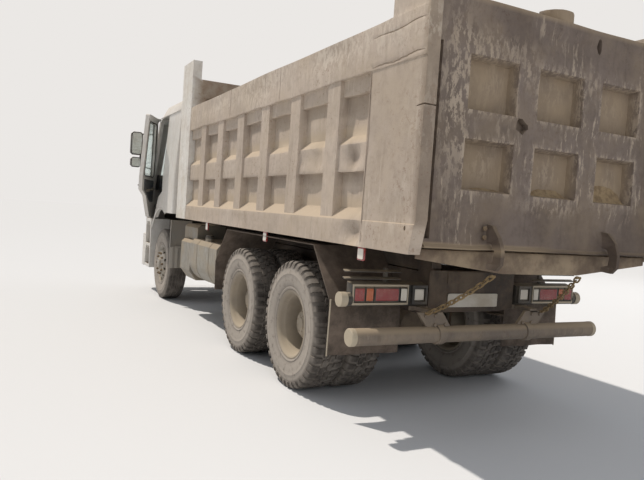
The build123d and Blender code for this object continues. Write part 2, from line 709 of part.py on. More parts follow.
def side_section():
    """The side's section: deep top and bottom rails and a mid rail, with a step or a sloped ledge at each."""
    skin = SIDE_IN_Y + 14
    bottom_rail = [(SIDE_IN_Y, SIDE_BOTTOM_Z), (SIDE_OUT_Y, SIDE_BOTTOM_Z)]
    bottom_rail += [(SIDE_OUT_Y, 1525), (skin, 1615)]
    mid_rail = [(skin, 1880), (1190, 1880), (1190, 2085), (skin, 2150)]
    step = [(skin, 2440), (1182, 2440), (1182, 2565), (SIDE_OUT_Y, 2565)]
    return bottom_rail + mid_rail + step + [(SIDE_OUT_Y, SIDE_TOP_Z), (SIDE_IN_Y, SIDE_TOP_Z)]


def bed_side():
    """The left side: its section carried along the body, upright ribs, and the plain rear panel with its ear."""
    wall = slab(side_section(), "X", BED_REAR_X, BED_FRONT_X)
    for i in range(RIB_COUNT):
        x = RIB_FIRST_X + i * RIB_PITCH
        back, front = x - RIB_W / 2, x + RIB_W / 2
        rib = [(back, SIDE_IN_Y), (front, SIDE_IN_Y), (front - 6, 1208), (back + 6, 1208)]
        wall += slab(rib, "Z", 1500, 2570)
    panel = [(BED_REAR_X + 55, SIDE_BOTTOM_Z), (BED_REAR_X, 1560), (BED_REAR_X, EAR_TOP_Z - 60)]
    panel += [(BED_REAR_X + 60, EAR_TOP_Z), (EAR_FRONT_X, EAR_TOP_Z), (EAR_FRONT_X, SIDE_TOP_Z)]
    panel += [(REAR_PANEL_X, 2600), (REAR_PANEL_X, SIDE_BOTTOM_Z)]
    wall += slab(panel, "Y", SIDE_IN_Y, SIDE_OUT_Y - 5)
    low = SIDE_BOTTOM_Z - 10
    corner = [(BED_REAR_X - 10, low), (BED_REAR_X + 55, low), (BED_REAR_X, 1560), (BED_REAR_X - 10, 1560)]
    wall -= slab(corner, "Y", SIDE_IN_Y - 5, SIDE_OUT_Y + 5)
    return wall - rod((GATE_PIN_X, SIDE_IN_Y - 5, GATE_PIN_Z), (GATE_PIN_X, SIDE_OUT_Y + 5, GATE_PIN_Z), 23)


def bed_floor():
    """Floor plate with the shallow vee apron under the tailgate."""
    front = GATE_FRONT_X + 8
    floor = block((front, BED_FRONT_X), (-SIDE_IN_Y, SIDE_IN_Y), (FLOOR_Z, FLOOR_Z + FLOOR_T))
    apron = [(-1110, 1372), (1110, 1372), (1110, 1310), (370, 1222), (-370, 1222), (-1110, 1310)]
    floor += slab(apron, "X", -4034, -4022)
    floor += block((-4034, front + 12), (-1110, 1110), (1360, 1372))
    return floor + block((front, front + 12), (-1110, 1110), (1360, FLOOR_Z + FLOOR_T))


def bed_underframe():
    """Two runners that rest on the subframe, the bearers across them and the hinge bosses."""
    inner = RAIL_OUT_Y - RAIL_FLANGE
    outer = RAIL_OUT_Y - 8
    bearer_low = SIDE_BOTTOM_Z + 6
    runner = block((TIP_X, HEAD_REAR_X - 20), (inner, outer), (SUB_TOP_Z + 10, bearer_low))
    runner += block((TIP_X - 46, TIP_X), (inner, outer), (TIP_Z, bearer_low))
    runner += bar((TIP_X, inner, TIP_Z), (TIP_X, outer, TIP_Z), 50, 16)
    runner -= rod((TIP_X, inner - 5, TIP_Z), (TIP_X, RAIL_OUT_Y + 5, TIP_Z), 31)
    frame = runner + mirror(runner, about=Plane.XZ)
    bearers = [(RIB_FIRST_X + i * RIB_PITCH, 45) for i in range(-1, RIB_COUNT)]
    bearers.append((HEAD_REAR_X - 68, 53))
    for x, half in bearers:
        frame += block((x - half, x + half), (-SIDE_IN_Y, SIDE_IN_Y), (bearer_low, FLOOR_Z))
    return frame


def headboard():
    """A tall deep frame: side posts, a top beam with arched corners, a recessed sheet and hoist brackets."""
    inner = HEAD_IN_Y
    beam_low, beam_front = HEAD_BEAM_TOP_Z - 200, HEAD_SHEET_X + 60
    frame = block((HEAD_REAR_X, beam_front), (-inner, inner), (beam_low, HEAD_BEAM_TOP_Z))
    for side in SIDES:
        post = [(HEAD_REAR_X, inner), (HEAD_REAR_X, SIDE_OUT_Y), (HEAD_FRONT_X - 14, SIDE_OUT_Y)]
        post += [(HEAD_FRONT_X, SIDE_OUT_Y - 14), (HEAD_FRONT_X, inner)]
        frame += slab([(x, side * y) for x, y in post], "Z", SIDE_BOTTOM_Z, HEAD_TOP_Z)
        gusset = [
            (side * inner, beam_low), (side * (inner - 260), beam_low), (side * (inner - 90), beam_low - 60),
            (side * inner, beam_low - 200),
        ]
        frame += slab(gusset, "X", HEAD_REAR_X, beam_front)
    frame += block((HEAD_SHEET_X, HEAD_SHEET_X + 14), (-inner, inner), (SIDE_BOTTOM_Z, beam_low + 10))
    frame += block((HEAD_REAR_X - 15, HEAD_SHEET_X), (-inner, inner), (SIDE_BOTTOM_Z + 6, FLOOR_Z + FLOOR_T))
    for z in (1440, 1900, 2450):
        root_x, tip_x = HEAD_SHEET_X + 14, HEAD_SHEET_X + 90
        stiffener = [(root_x, z), (tip_x, z + 20), (tip_x, z + 70), (root_x, z + 90)]
        for side in SIDES:
            frame += slab(stiffener, "Y", side * 175, side * inner)
    bracket = [
        (HEAD_SHEET_X, TRUNNION_Z - 200), (HEAD_SHEET_X, TRUNNION_Z + 260), (HOIST_X + 40, TRUNNION_Z + 50),
        (HOIST_X + 40, TRUNNION_Z - 50),
    ]
    for side in SIDES:
        ear = slab(bracket, "Y", side * 135, side * 160)
        frame += ear - rod((HOIST_X, side * 120, TRUNNION_Z), (HOIST_X, side * 170, TRUNNION_Z), 33)
    return frame


def gate_pocket(y0, y1, z0, z1):
    """One pocket sunk into the gate's rear face, narrowing inwards."""
    depth, slope = 85, 21
    rings = []
    for x, inset in ((GATE_REAR_X, 0), (GATE_REAR_X + depth, slope)):
        near_y, far_y, low_z, high_z = y0 + inset, y1 - inset, z0 + inset, z1 - inset
        rings.append([(x, near_y, low_z), (x, far_y, low_z), (x, far_y, high_z), (x, near_y, high_z)])
    return stacked(rings)


def tailgate():
    """Gridded tailgate: six pockets with sloped walls sunk into a deep frame, hung on two pins."""
    gate = block((GATE_REAR_X, GATE_FRONT_X), (-GATE_HALF, GATE_HALF), (GATE_BOTTOM_Z, GATE_TOP_Z))
    # columns: pocket's low y, high y
    columns = [(-827, -407), (-218, 218), (407, 827)]
    # columns: pocket's low z, high z
    rows = [(1770, 2107), (2294, 2648)]
    for y0, y1 in columns:
        for z0, z1 in rows:
            gate -= gate_pocket(y0, y1, z0, z1)
    band_z, step_y, step_depth = 2690, 1055, 45
    for side in SIDES:
        beside = (side * step_y, side * (GATE_HALF + 5))
        gate -= block((GATE_REAR_X - 5, GATE_REAR_X + step_depth), beside, (GATE_BOTTOM_Z + 60, band_z))
    lug_x, lug_top = GATE_REAR_X + GATE_LUG_R - 4, GATE_TOP_Z + 75
    lug = bar((lug_x, 0, GATE_TOP_Z - 20), (lug_x, 0, lug_top), GATE_LUG_R, 16)
    lug_reach = (GATE_REAR_X, GATE_FRONT_X + 30)
    gate += lug & block(lug_reach, (-GATE_LUG_R, GATE_LUG_R), (GATE_TOP_Z - 20, lug_top))
    lip_x, lip_z = GATE_REAR_X - 26, GATE_BOTTOM_Z
    lip = [(GATE_REAR_X, lip_z), (lip_x, lip_z + 4), (lip_x, lip_z + 12), (GATE_REAR_X, lip_z + 30)]
    gate += slab(lip, "Y", -GATE_HALF + 10, GATE_HALF - 10)
    arm = [(GATE_FRONT_X, GATE_TOP_Z - 160), (GATE_REAR_X + 30, GATE_TOP_Z - 160)]
    arm += [(GATE_PIN_X - 55, GATE_PIN_Z + 40), (GATE_PIN_X + 40, GATE_PIN_Z + 40)]
    # columns: x, z round the catch that hooks under the apron, first its back and then its inside
    claw = [(GATE_REAR_X, 1560), (-4140, 1550), (-4195, 1480), (-4225, 1390), (-4222, 1300), (-4180, 1255)]
    claw += [(-4090, 1262), (-4090, 1296), (-4150, 1312), (-4158, 1380), (-4130, 1430), (GATE_REAR_X, 1440)]
    for side in SIDES:
        gate += slab(arm, "Y", side * (GATE_HALF - 55), side * (GATE_HALF - 5))
        pin_from, pin_to = side * (GATE_HALF - 60), side * (SIDE_OUT_Y + 8)
        gate += rod((GATE_PIN_X, pin_from, GATE_PIN_Z), (GATE_PIN_X, pin_to, GATE_PIN_Z), 20)
        gate += slab(claw, "Y", side * 545, side * 575)
    return gate


def upright(low, high, radius, bore=0):
    """A many-sided tube standing on the hoist's line, or a solid rod where it has no bore."""
    plan = RegularPolygon(radius, HOIST_FLATS, major_radius=False)
    if bore:
        plan -= RegularPolygon(bore, HOIST_FLATS, major_radius=False)
    return Pos(HOIST_X, 0, 0) * carry(plan, "Z", low, high)


def hoist():
    """Cover on its trunnions and three rods nested in it, the last one standing on its foot."""
    low = TRUNNION_Z - 150
    high = low + HOIST_TUBE_LENGTH + 150
    pins = rod((HOIST_X, -168, TRUNNION_Z), (HOIST_X, 168, TRUNNION_Z), 30) - upright(low, high, 91)
    cover = upright(low, high - 15, 100, 91) + upright(high - 15, high, 100) + pins
    save("hoist_cover", cover)
    # columns: name, outer radius, bore radius, how far it stands out below the cover
    for name, outer, bore, out in (("hoist_rod_1", 86, 77, 40), ("hoist_rod_2", 72, 63, 80)):
        save(name, upright(low - out, low - out + HOIST_TUBE_LENGTH, outer, bore))
    last = upright(FOOT_Z + 30, low - 120 + HOIST_TUBE_LENGTH, 57)
    last += bar((HOIST_X, -58, FOOT_Z), (HOIST_X, 58, FOOT_Z), 48, 16)
    save("hoist_rod_3", last)


os.makedirs("parts", exist_ok=True)
save("chassis_frame", chassis_frame())
save("tipper_subframe", tipper_subframe())
save("hoist_footing", hoist_footing())
save("front_axle_beam", front_axle_beam())
save("drive_axles", [drive_axle(REAR_AXLE_X), drive_axle(MID_AXLE_X)])
save("leaf_springs", leaf_springs())
save("driveline", driveline())
save("engine_block", engine_block())
save("front_bumper", front_bumper())
save("headlamps", headlamps())
save("fuel_tank", fuel_tank())
save("side_boxes", side_boxes())
save("front_wheel_guards", front_wheel_guards())
save("bogie_mudguards", bogie_mudguards())
save("underrun_bar", underrun_bar())
save("tail_lamps", tail_lamps())
save("tailgate_chains", tailgate_chains())

for side in SIDES:
    for name, x in (("mid", MID_AXLE_X), ("rear", REAR_AXLE_X)):
        twin_wheels(f"{name}_{SIDE_NAMES[side]}", x, side)
    front_wheel(side)
    save(f"knuckle_{SIDE_NAMES[side]}", knuckle(side))

cab_outer = cab_form(0)
cab_core = cab_form(CAB_WALL)
glass_layer = cab_form(22) - cab_form(30)
save("cab_shell", cab_shell(cab_outer, cab_core))
save("cab_floor", cab_floor(cab_core))
save("cab_interior", cab_interior(cab_core))
save("cab_grille", cab_grille())
save("mirrors", mirrors())
save("windscreen", glass_layer & slab(SCREEN_OUTLINE, "X", 3600, 4300))
for side in SIDES:
    save(f"door_{SIDE_NAMES[side]}", swung(door(cab_outer, cab_core, side), side))
    save(f"door_glass_{SIDE_NAMES[side]}", swung(door_glass(glass_layer, side), side))

for side, shape in zip(SIDES, both_sides(bed_side())):
    save(f"bed_side_{SIDE_NAMES[side]}", shape)
save("bed_floor", bed_floor())
save("bed_underframe", bed_underframe())
save("headboard", headboard())
save("tailgate", tailgate())
hoist()
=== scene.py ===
"""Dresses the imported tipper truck: finishes, tyre tread, rims, lamps, glass, cab trim and worn panels.

Lengths are in metres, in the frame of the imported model: X forward, Y to the truck's left, Z up,
with the origin on the ground under the middle of the truck.
"""

from __future__ import annotations

import json
import logging
import math
from dataclasses import dataclass
from enum import Enum
from typing import Callable, Sequence

import bmesh
import bpy
import numpy as np
from mathutils import Matrix, Vector

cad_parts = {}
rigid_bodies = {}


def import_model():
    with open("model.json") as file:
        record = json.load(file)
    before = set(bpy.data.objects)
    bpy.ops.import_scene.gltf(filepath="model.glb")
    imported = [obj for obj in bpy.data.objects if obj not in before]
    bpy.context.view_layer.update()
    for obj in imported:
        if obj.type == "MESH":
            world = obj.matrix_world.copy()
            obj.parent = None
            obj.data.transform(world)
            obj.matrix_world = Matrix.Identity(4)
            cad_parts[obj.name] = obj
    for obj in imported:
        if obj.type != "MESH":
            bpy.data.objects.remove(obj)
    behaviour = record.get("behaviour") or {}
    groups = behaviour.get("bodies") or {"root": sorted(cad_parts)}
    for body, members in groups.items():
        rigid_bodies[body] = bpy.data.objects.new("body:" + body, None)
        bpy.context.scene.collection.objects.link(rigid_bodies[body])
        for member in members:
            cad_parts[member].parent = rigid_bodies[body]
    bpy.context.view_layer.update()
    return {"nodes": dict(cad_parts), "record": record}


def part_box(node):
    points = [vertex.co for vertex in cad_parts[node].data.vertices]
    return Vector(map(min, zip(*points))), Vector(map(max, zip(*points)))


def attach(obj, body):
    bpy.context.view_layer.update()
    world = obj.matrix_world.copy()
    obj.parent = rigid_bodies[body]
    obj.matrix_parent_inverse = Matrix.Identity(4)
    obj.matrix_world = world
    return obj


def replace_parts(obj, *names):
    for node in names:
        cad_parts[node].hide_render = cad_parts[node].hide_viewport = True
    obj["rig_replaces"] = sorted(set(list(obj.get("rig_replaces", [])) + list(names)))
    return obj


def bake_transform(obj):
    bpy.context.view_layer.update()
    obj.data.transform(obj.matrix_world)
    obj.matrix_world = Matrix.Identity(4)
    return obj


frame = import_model()
LOG = logging.getLogger("truck")

SIDES = {"left": 1.0, "right": -1.0}
SLOT_OF = {row["node"]: row["material_slot"] for row in frame["record"]["subparts"]}
Points = np.ndarray
Faces = Sequence[Sequence[int]]
Socket = bpy.types.NodeSocket
Field = Callable[[Points], np.ndarray]
Bend = Callable[[Points], Points]


# Shapes


def shade(thing: bpy.types.Object, smooth_deg: float) -> None:
    """Shade smooth, and mark the edges that turn more than smooth_deg as sharp."""
    mesh = thing.data
    mesh.polygons.foreach_set("use_smooth", [True] * len(mesh.polygons))
    mesh.set_sharp_from_angle(angle=math.radians(smooth_deg))


def grid_faces(rows: int, columns: int, closed_rows: bool = False,
        closed_columns: bool = False) -> np.ndarray:
    """Index the quads of a grid of points.

    Args:
        rows: Points along the first direction.
        columns: Points along the second direction.
        closed_rows: Whether the last row joins the first.
        closed_columns: Whether the last column joins the first.

    Returns:
        An array of n by 4 indices.
    """
    last_row = rows if closed_rows else rows - 1
    last_column = columns if closed_columns else columns - 1
    r, c = np.meshgrid(np.arange(last_row), np.arange(last_column), indexing="ij")
    r2, c2 = (r + 1) % rows, (c + 1) % columns
    quads = np.stack([r * columns + c, r2 * columns + c, r2 * columns + c2, r * columns + c2], axis=-1)
    return quads.reshape(-1, 4)


def inside_out(points: Points, faces: Faces) -> bool:
    """Tell whether a closed shell's faces point inwards: the sum of its corner tetrahedra is then
    negative."""
    centred = points - points.mean(axis=0)
    total = 0.0
    for size in {len(face) for face in faces}:
        chosen = np.array([face for face in faces if len(face) == size])
        for i in range(1, size - 1):
            a, b, c = centred[chosen[:, 0]], centred[chosen[:, i]], centred[chosen[:, i + 1]]
            total += float(np.einsum("ij,ij->", a, np.cross(b, c)))
    return total < 0


class Shape:
    """Closed surfaces gathered into one mesh, each turned so that its faces point out."""

    def __init__(self) -> None:
        """Start with nothing in it."""
        self.points: list[Points] = []
        self.faces: list[list[int]] = []
        self.count = 0

    def add(self, points: Points, faces: Faces) -> "Shape":
        """Add one closed surface.

        Args:
            points: Its corners, n by 3.
            faces: Corner indices of each face.

        Returns:
            This shape.
        """
        points = np.asarray(points, float).reshape(-1, 3)
        faces = [[int(i) for i in face] for face in faces]
        if inside_out(points, faces):
            faces = [face[::-1] for face in faces]
        self.points.append(points)
        self.faces.extend([[i + self.count for i in face] for face in faces])
        self.count += len(points)
        return self

    def all_points(self) -> Points:
        """Every corner gathered so far."""
        return np.concatenate(self.points)

    def moved(self, move: Bend) -> "Shape":
        """Move every corner gathered so far by a function."""
        self.points = [move(self.all_points())]
        return self

    def piece(self, name: str, smooth_deg: float = 35.0, bevel: float = 0.0) -> bpy.types.Object:
        """Make the gathered surfaces one object.

        Args:
            name: The object's name.
            smooth_deg: Edges flatter than this are shaded smooth.
            bevel: Width of its rounded edges, or 0 for none.

        Returns:
            The new object, linked to the scene.
        """
        mesh = bpy.data.meshes.new(name)
        mesh.from_pydata(self.all_points().tolist(), [], self.faces)
        mesh.update()
        thing = bpy.data.objects.new(name, mesh)
        bpy.context.scene.collection.objects.link(thing)
        shade(thing, smooth_deg)
        round_edges(thing, bevel, smooth_deg)
        return thing


def round_edges(thing: bpy.types.Object, width: float, smooth_deg: float) -> None:
    """Round the edges that turn more than smooth_deg, where the width isn't 0."""
    if not width:
        return
    rounding = thing.modifiers.new("edges", "BEVEL")
    rounding.width = width
    rounding.segments = 2
    rounding.limit_method = "ANGLE"
    rounding.angle_limit = math.radians(smooth_deg)
    rounding.use_clamp_overlap = True
    rounding.harden_normals = True


def turned(profile: Points, centre: Sequence[float], segments: int, axis: str = "Y") -> tuple[Points, Faces]:
    """Turn a closed profile about an axis: a point (r, w) goes round as (r cos a, r sin a), w along the axis.

    Args:
        profile: Radius and offset along the axis, in order round a closed outline off the axis.
        centre: The place that r and w start from.
        segments: How many steps go round.
        axis: "X", "Y" or "Z".

    Returns:
        The points and the faces.
    """
    a = np.linspace(0, 2 * np.pi, segments, endpoint=False)[:, None]
    r, w = np.asarray(profile, float).T
    across, up = r * np.cos(a), r * np.sin(a)
    along = np.broadcast_to(w, across.shape)
    order = {"X": (along, across, up), "Y": (across, along, up), "Z": (across, up, along)}[axis]
    points = np.stack(order, axis=-1).reshape(-1, 3) + np.asarray(centre, float)
    return points, grid_faces(segments, len(r), True, True)


def knob(profile: Points, centre: Sequence[float], segments: int, axis: str = "Y") -> tuple[Points, Faces]:
    """Turn an open profile whose ends lie on the axis, with each end closed by one flat face.

    Args:
        profile: Radius and offset along the axis. Both end radii are above 0.
        centre: The place that r and w start from.
        segments: How many steps go round.
        axis: "X", "Y" or "Z".

    Returns:
        The points and the faces.
    """
    points, _ = turned(profile, centre, segments, axis)
    rows = len(np.asarray(profile))
    faces = grid_faces(segments, rows, True, False).tolist()
    faces.append([i * rows for i in range(segments)][::-1])
    faces.append([i * rows + rows - 1 for i in range(segments)])
    return points, faces


def box_shape(low: Sequence[float], high: Sequence[float]) -> tuple[Points, Faces]:
    """The eight corners and six faces of a box."""
    (x0, y0, z0), (x1, y1, z1) = low, high
    points = np.array([(x, y, z) for z in (z0, z1) for y in (y0, y1) for x in (x0, x1)], float)
    faces = [[0, 2, 3, 1], [4, 5, 7, 6], [0, 1, 5, 4], [2, 6, 7, 3], [0, 4, 6, 2], [1, 3, 7, 5]]
    return points, faces


def prism(outline: Points, axis: str, low: float, high: float) -> tuple[Points, Faces]:
    """Carry a flat outline along an axis: each corner (u, v) stands at both ends of the run.

    Args:
        outline: Corners in the other two axes, in order.
        axis: "X", "Y" or "Z".
        low: Start of the run.
        high: End of the run.

    Returns:
        The points and the faces.
    """
    u, v = np.asarray(outline, float).T
    n = len(u)
    rings = []
    for place in (low, high):
        w = np.full(n, place)
        rings.append(np.stack({"X": (w, u, v), "Y": (u, w, v), "Z": (u, v, w)}[axis], axis=-1))
    faces = grid_faces(2, n, False, True).tolist()
    faces += [list(range(n)), list(range(n, 2 * n))[::-1]]
    return np.concatenate(rings), faces


def tube(path: Points, radius: float | Points, sides: int = 12, closed: bool = False) -> tuple[Points, Faces]:
    """Carry a circle along a path, square to it at each point.

    Args:
        path: The points of the path.
        radius: One radius, or one for each point.
        sides: Corners round the circle.
        closed: Whether the path's end joins its start. An open one gets flat ends.

    Returns:
        The points and the faces.
    """
    path = np.asarray(path, float)
    along = np.roll(path, -1, axis=0) - np.roll(path, 1, axis=0) if closed else np.gradient(path, axis=0)
    along /= np.linalg.norm(along, axis=1, keepdims=True)
    spread = np.ptp(path, axis=0)
    guide = np.zeros(3)
    guide[int(np.argmin(spread))] = 1.0
    right = np.cross(along, guide)
    right /= np.linalg.norm(right, axis=1, keepdims=True)
    up = np.cross(right, along)
    a = np.linspace(0, 2 * np.pi, sides, endpoint=False)[None, :, None]
    r = np.broadcast_to(np.asarray(radius, float), (len(path),))[:, None, None]
    rings = path[:, None] + r * (np.cos(a) * right[:, None] + np.sin(a) * up[:, None])
    faces = grid_faces(len(path), sides, closed, True).tolist()
    if not closed:
        faces.append(list(range(sides))[::-1])
        faces.append([(len(path) - 1) * sides + i for i in range(sides)])
    return rings.reshape(-1, 3), faces


def rounded(points: Points, per_corner: int = 4, share: float = 0.3, closed: bool = True) -> Points:
    """Round a path's corners by curves through three points: (1-t)(1-t) a + 2t(1-t) corner + t t b.

    Args:
        points: The path's corners.
        per_corner: Points on each rounded corner.
        share: How much of each side a corner takes.
        closed: Whether the path's end joins its start.

    Returns:
        The rounded path.
    """
    points = np.asarray(points, float)
    before, after = np.roll(points, 1, axis=0), np.roll(points, -1, axis=0)
    a, b = points + (before - points) * share, points + (after - points) * share
    t = np.linspace(0, 1, per_corner)[None, :, None]
    curved = (1 - t) ** 2 * a[:, None] + 2 * t * (1 - t) * points[:, None] + t**2 * b[:, None]
    if closed:
        return curved.reshape(-1, points.shape[1])
    return np.concatenate([points[:1], curved[1:-1].reshape(-1, points.shape[1]), points[-1:]])


def hex_head(centre: Sequence[float], axis: str, across: float, height: float) -> tuple[Points, Faces]:
    """A six-sided bolt head whose outer edge is a little narrower. Height may be negative."""
    r = across / math.sqrt(3)
    return knob([(r, 0), (r, height * 0.75), (r * 0.82, height)], centre, 6, axis)


def ease(values: np.ndarray, low: float, high: float) -> np.ndarray:
    """Go from 0 at low to 1 at high along 3tt - 2ttt."""
    t = np.clip((values - low) / (high - low), 0, 1)
    return t * t * (3 - 2 * t)


def window(values: np.ndarray, low: float, high: float, soft: float) -> np.ndarray:
    """1 between low and high, easing to 0 over the soft distance outside."""
    return ease(values, low - soft, low) * (1 - ease(values, high, high + soft))


def bell(points: Points, centre: Sequence[float], reach: Sequence[float]) -> np.ndarray:
    """A soft mound: 1 at the centre, falling as exp(-d d), with d measured in reaches along X, Y and Z."""
    away = (points - np.asarray(centre, float)) / np.asarray(reach, float)
    return np.exp(-np.sum(away**2, axis=1))


def ripple(points: Points, length: float, seed: int) -> np.ndarray:
    """Smooth unevenness between -1 and 1: the mean of nine sine waves at seeded angles and phases."""
    rng = np.random.default_rng(seed)
    total = np.zeros(len(points))
    for _ in range(9):
        heading = rng.normal(size=3)
        heading *= 2 * np.pi / (length * rng.uniform(0.7, 1.6) * np.linalg.norm(heading))
        total += np.sin(points @ heading + rng.uniform(0, 2 * np.pi))
    return total / 4.5


def body_of(node: str) -> str:
    """The name of the body that a node belongs to."""
    groups = frame["record"]["behaviour"]["bodies"]
    return next(body for body, nodes in groups.items() if node in nodes)


def seat(thing: bpy.types.Object, body: str, finish: "Finish") -> bpy.types.Object:
    """Give a piece its finish and the body it moves with."""
    thing.data.materials.clear()
    thing.data.materials.append(finish.material())
    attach(thing, body)
    return thing


def cut_grid(mesh: bmesh.types.BMesh, low: Vector, high: Vector, spacing: Sequence[float]) -> None:
    """Cut a mesh by evenly spaced planes square to X, Y and Z, so that it can be bent."""
    for axis in range(3):
        steps = int((high[axis] - low[axis]) / spacing[axis]) if spacing[axis] else 0
        normal = [0.0, 0.0, 0.0]
        normal[axis] = 1.0
        for i in range(1, steps + 1):
            place = list(low)
            place[axis] = low[axis] + (high[axis] - low[axis]) * i / (steps + 1)
            everything = mesh.verts[:] + mesh.edges[:] + mesh.faces[:]
            bmesh.ops.bisect_plane(mesh, geom=everything, plane_co=place, plane_no=normal, dist=1e-6)


def carve(thing: bpy.types.Object, cutters: "Shape") -> None:
    """Cut torn holes and cracks out of a solid, for good."""
    tool = cutters.piece("cutter", 30)
    cut = thing.modifiers.new("cut", "BOOLEAN")
    cut.operation = "DIFFERENCE"
    cut.solver = "EXACT"
    cut.object = tool
    graph = bpy.context.evaluated_depsgraph_get()
    carved = bpy.data.meshes.new_from_object(thing.evaluated_get(graph), depsgraph=graph)
    thing.modifiers.remove(cut)
    old = thing.data
    thing.data = carved
    bpy.data.meshes.remove(old)
    bpy.data.objects.remove(tool)


class Mark(Enum):
    """Where a finish is worn or dirty, and on some parts where shade or light is painted, kept on the mesh as
    a share from 0 to 1.
    """

    SCRAPED = "scraped"
    # dust, and also painted sunlight low in the bed sides' bays and a painted shaded groove round each tyre
    DUST_AND_PAINTED_LIGHT = "dusty"
    RUSTED = "rusted"
    # grime, and also painted shade under the bed sides' rails, on their rear edges, over the apron and on the
    # gate's catches
    GRIME_AND_SHADE = "soiled"


def mark(thing: bpy.types.Object, marks: dict[Mark, Field]) -> None:
    """Write each mark's share at every corner of a mesh."""
    places = np.zeros(len(thing.data.vertices) * 3)
    thing.data.vertices.foreach_get("co", places)
    for kind, share in marks.items():
        values = np.clip(share(places.reshape(-1, 3)), 0, 1).astype(np.float32)
        thing.data.attributes.new(kind.value, "FLOAT", "POINT").data.foreach_set("value", values)


def dressed(
    node: str,
    finish: "Finish",
    bevel: float = 0.003,
    spacing: Sequence[float] = (0, 0, 0),
    bend: Bend | None = None,
    marks: dict[Mark, Field] | None = None,
    cutters: "Shape | None" = None,
    smooth_deg: float = 34.0,
) -> bpy.types.Object:
    """Stand a merged and edge-rounded copy of a node in its place.

    Args:
        node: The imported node.
        finish: Its surface.
        bevel: Width of the rounded edges.
        spacing: Distance between cuts along X, Y and Z, or 0 for none.
        bend: A function that moves the points of the cut copy.
        marks: Where it is worn or dirty.
        cutters: Torn holes to cut out.
        smooth_deg: Edges flatter than this are shaded smooth.

    Returns:
        The new object, which rides with the node's body.
    """
    work = bmesh.new()
    work.from_mesh(frame["nodes"][node].data)
    bmesh.ops.remove_doubles(work, verts=work.verts, dist=2e-5)
    bmesh.ops.dissolve_limit(work, angle_limit=math.radians(0.8), verts=work.verts, edges=work.edges)
    if any(spacing):
        cut_grid(work, *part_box(node), spacing)
    mesh = bpy.data.meshes.new(f"{node}_skin")
    work.to_mesh(mesh)
    work.free()
    if bend is not None:
        places = np.zeros(len(mesh.vertices) * 3)
        mesh.vertices.foreach_get("co", places)
        mesh.vertices.foreach_set("co", bend(places.reshape(-1, 3)).ravel())
        mesh.update()
    thing = bpy.data.objects.new(f"{node}_skin", mesh)
    bpy.context.scene.collection.objects.link(thing)
    if cutters is not None:
        carve(thing, cutters)
    mark(thing, marks or {})
    shade(thing, smooth_deg)
    round_edges(thing, bevel, smooth_deg)
    seat(thing, body_of(node), finish)
    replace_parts(thing, node)
    LOG.info("dressed %s", node)
    return thing


# Finishes


def linear(hex_colour: str) -> tuple[float, float, float, float]:
    """Turn an sRGB hex colour to linear RGBA: v/12.92 below 0.04045, else ((v + 0.055) / 1.055) to the
    2.4."""
    values = np.array([int(hex_colour[i : i + 2], 16) for i in (1, 3, 5)]) / 255
    low, high = values / 12.92, ((values + 0.055) / 1.055) ** 2.4
    return (*np.where(values <= 0.04045, low, high).tolist(), 1.0)


def node_in(
    tree: bpy.types.NodeTree, kind: str, links: dict[str | int, object] | None = None, **settings: object
) -> bpy.types.Node:
    """Add one shader node.

    Args:
        tree: The material's node tree.
        kind: The node's type without the ShaderNode prefix.
        links: For each input, a socket to link or a value to set.
        **settings: The node's own properties.

    Returns:
        The new node.
    """
    made = tree.nodes.new(f"ShaderNode{kind}")
    for name, value in settings.items():
        setattr(made, name, value)
    for key, value in (links or {}).items():
        if isinstance(value, Socket):
            tree.links.new(value, made.inputs[key])
        else:
            made.inputs[key].default_value = value
    return made


@dataclass(frozen=True)
class Coat:
    """One layer of a surface: its sRGB colour and its roughness."""

    colour: str
    rough: float


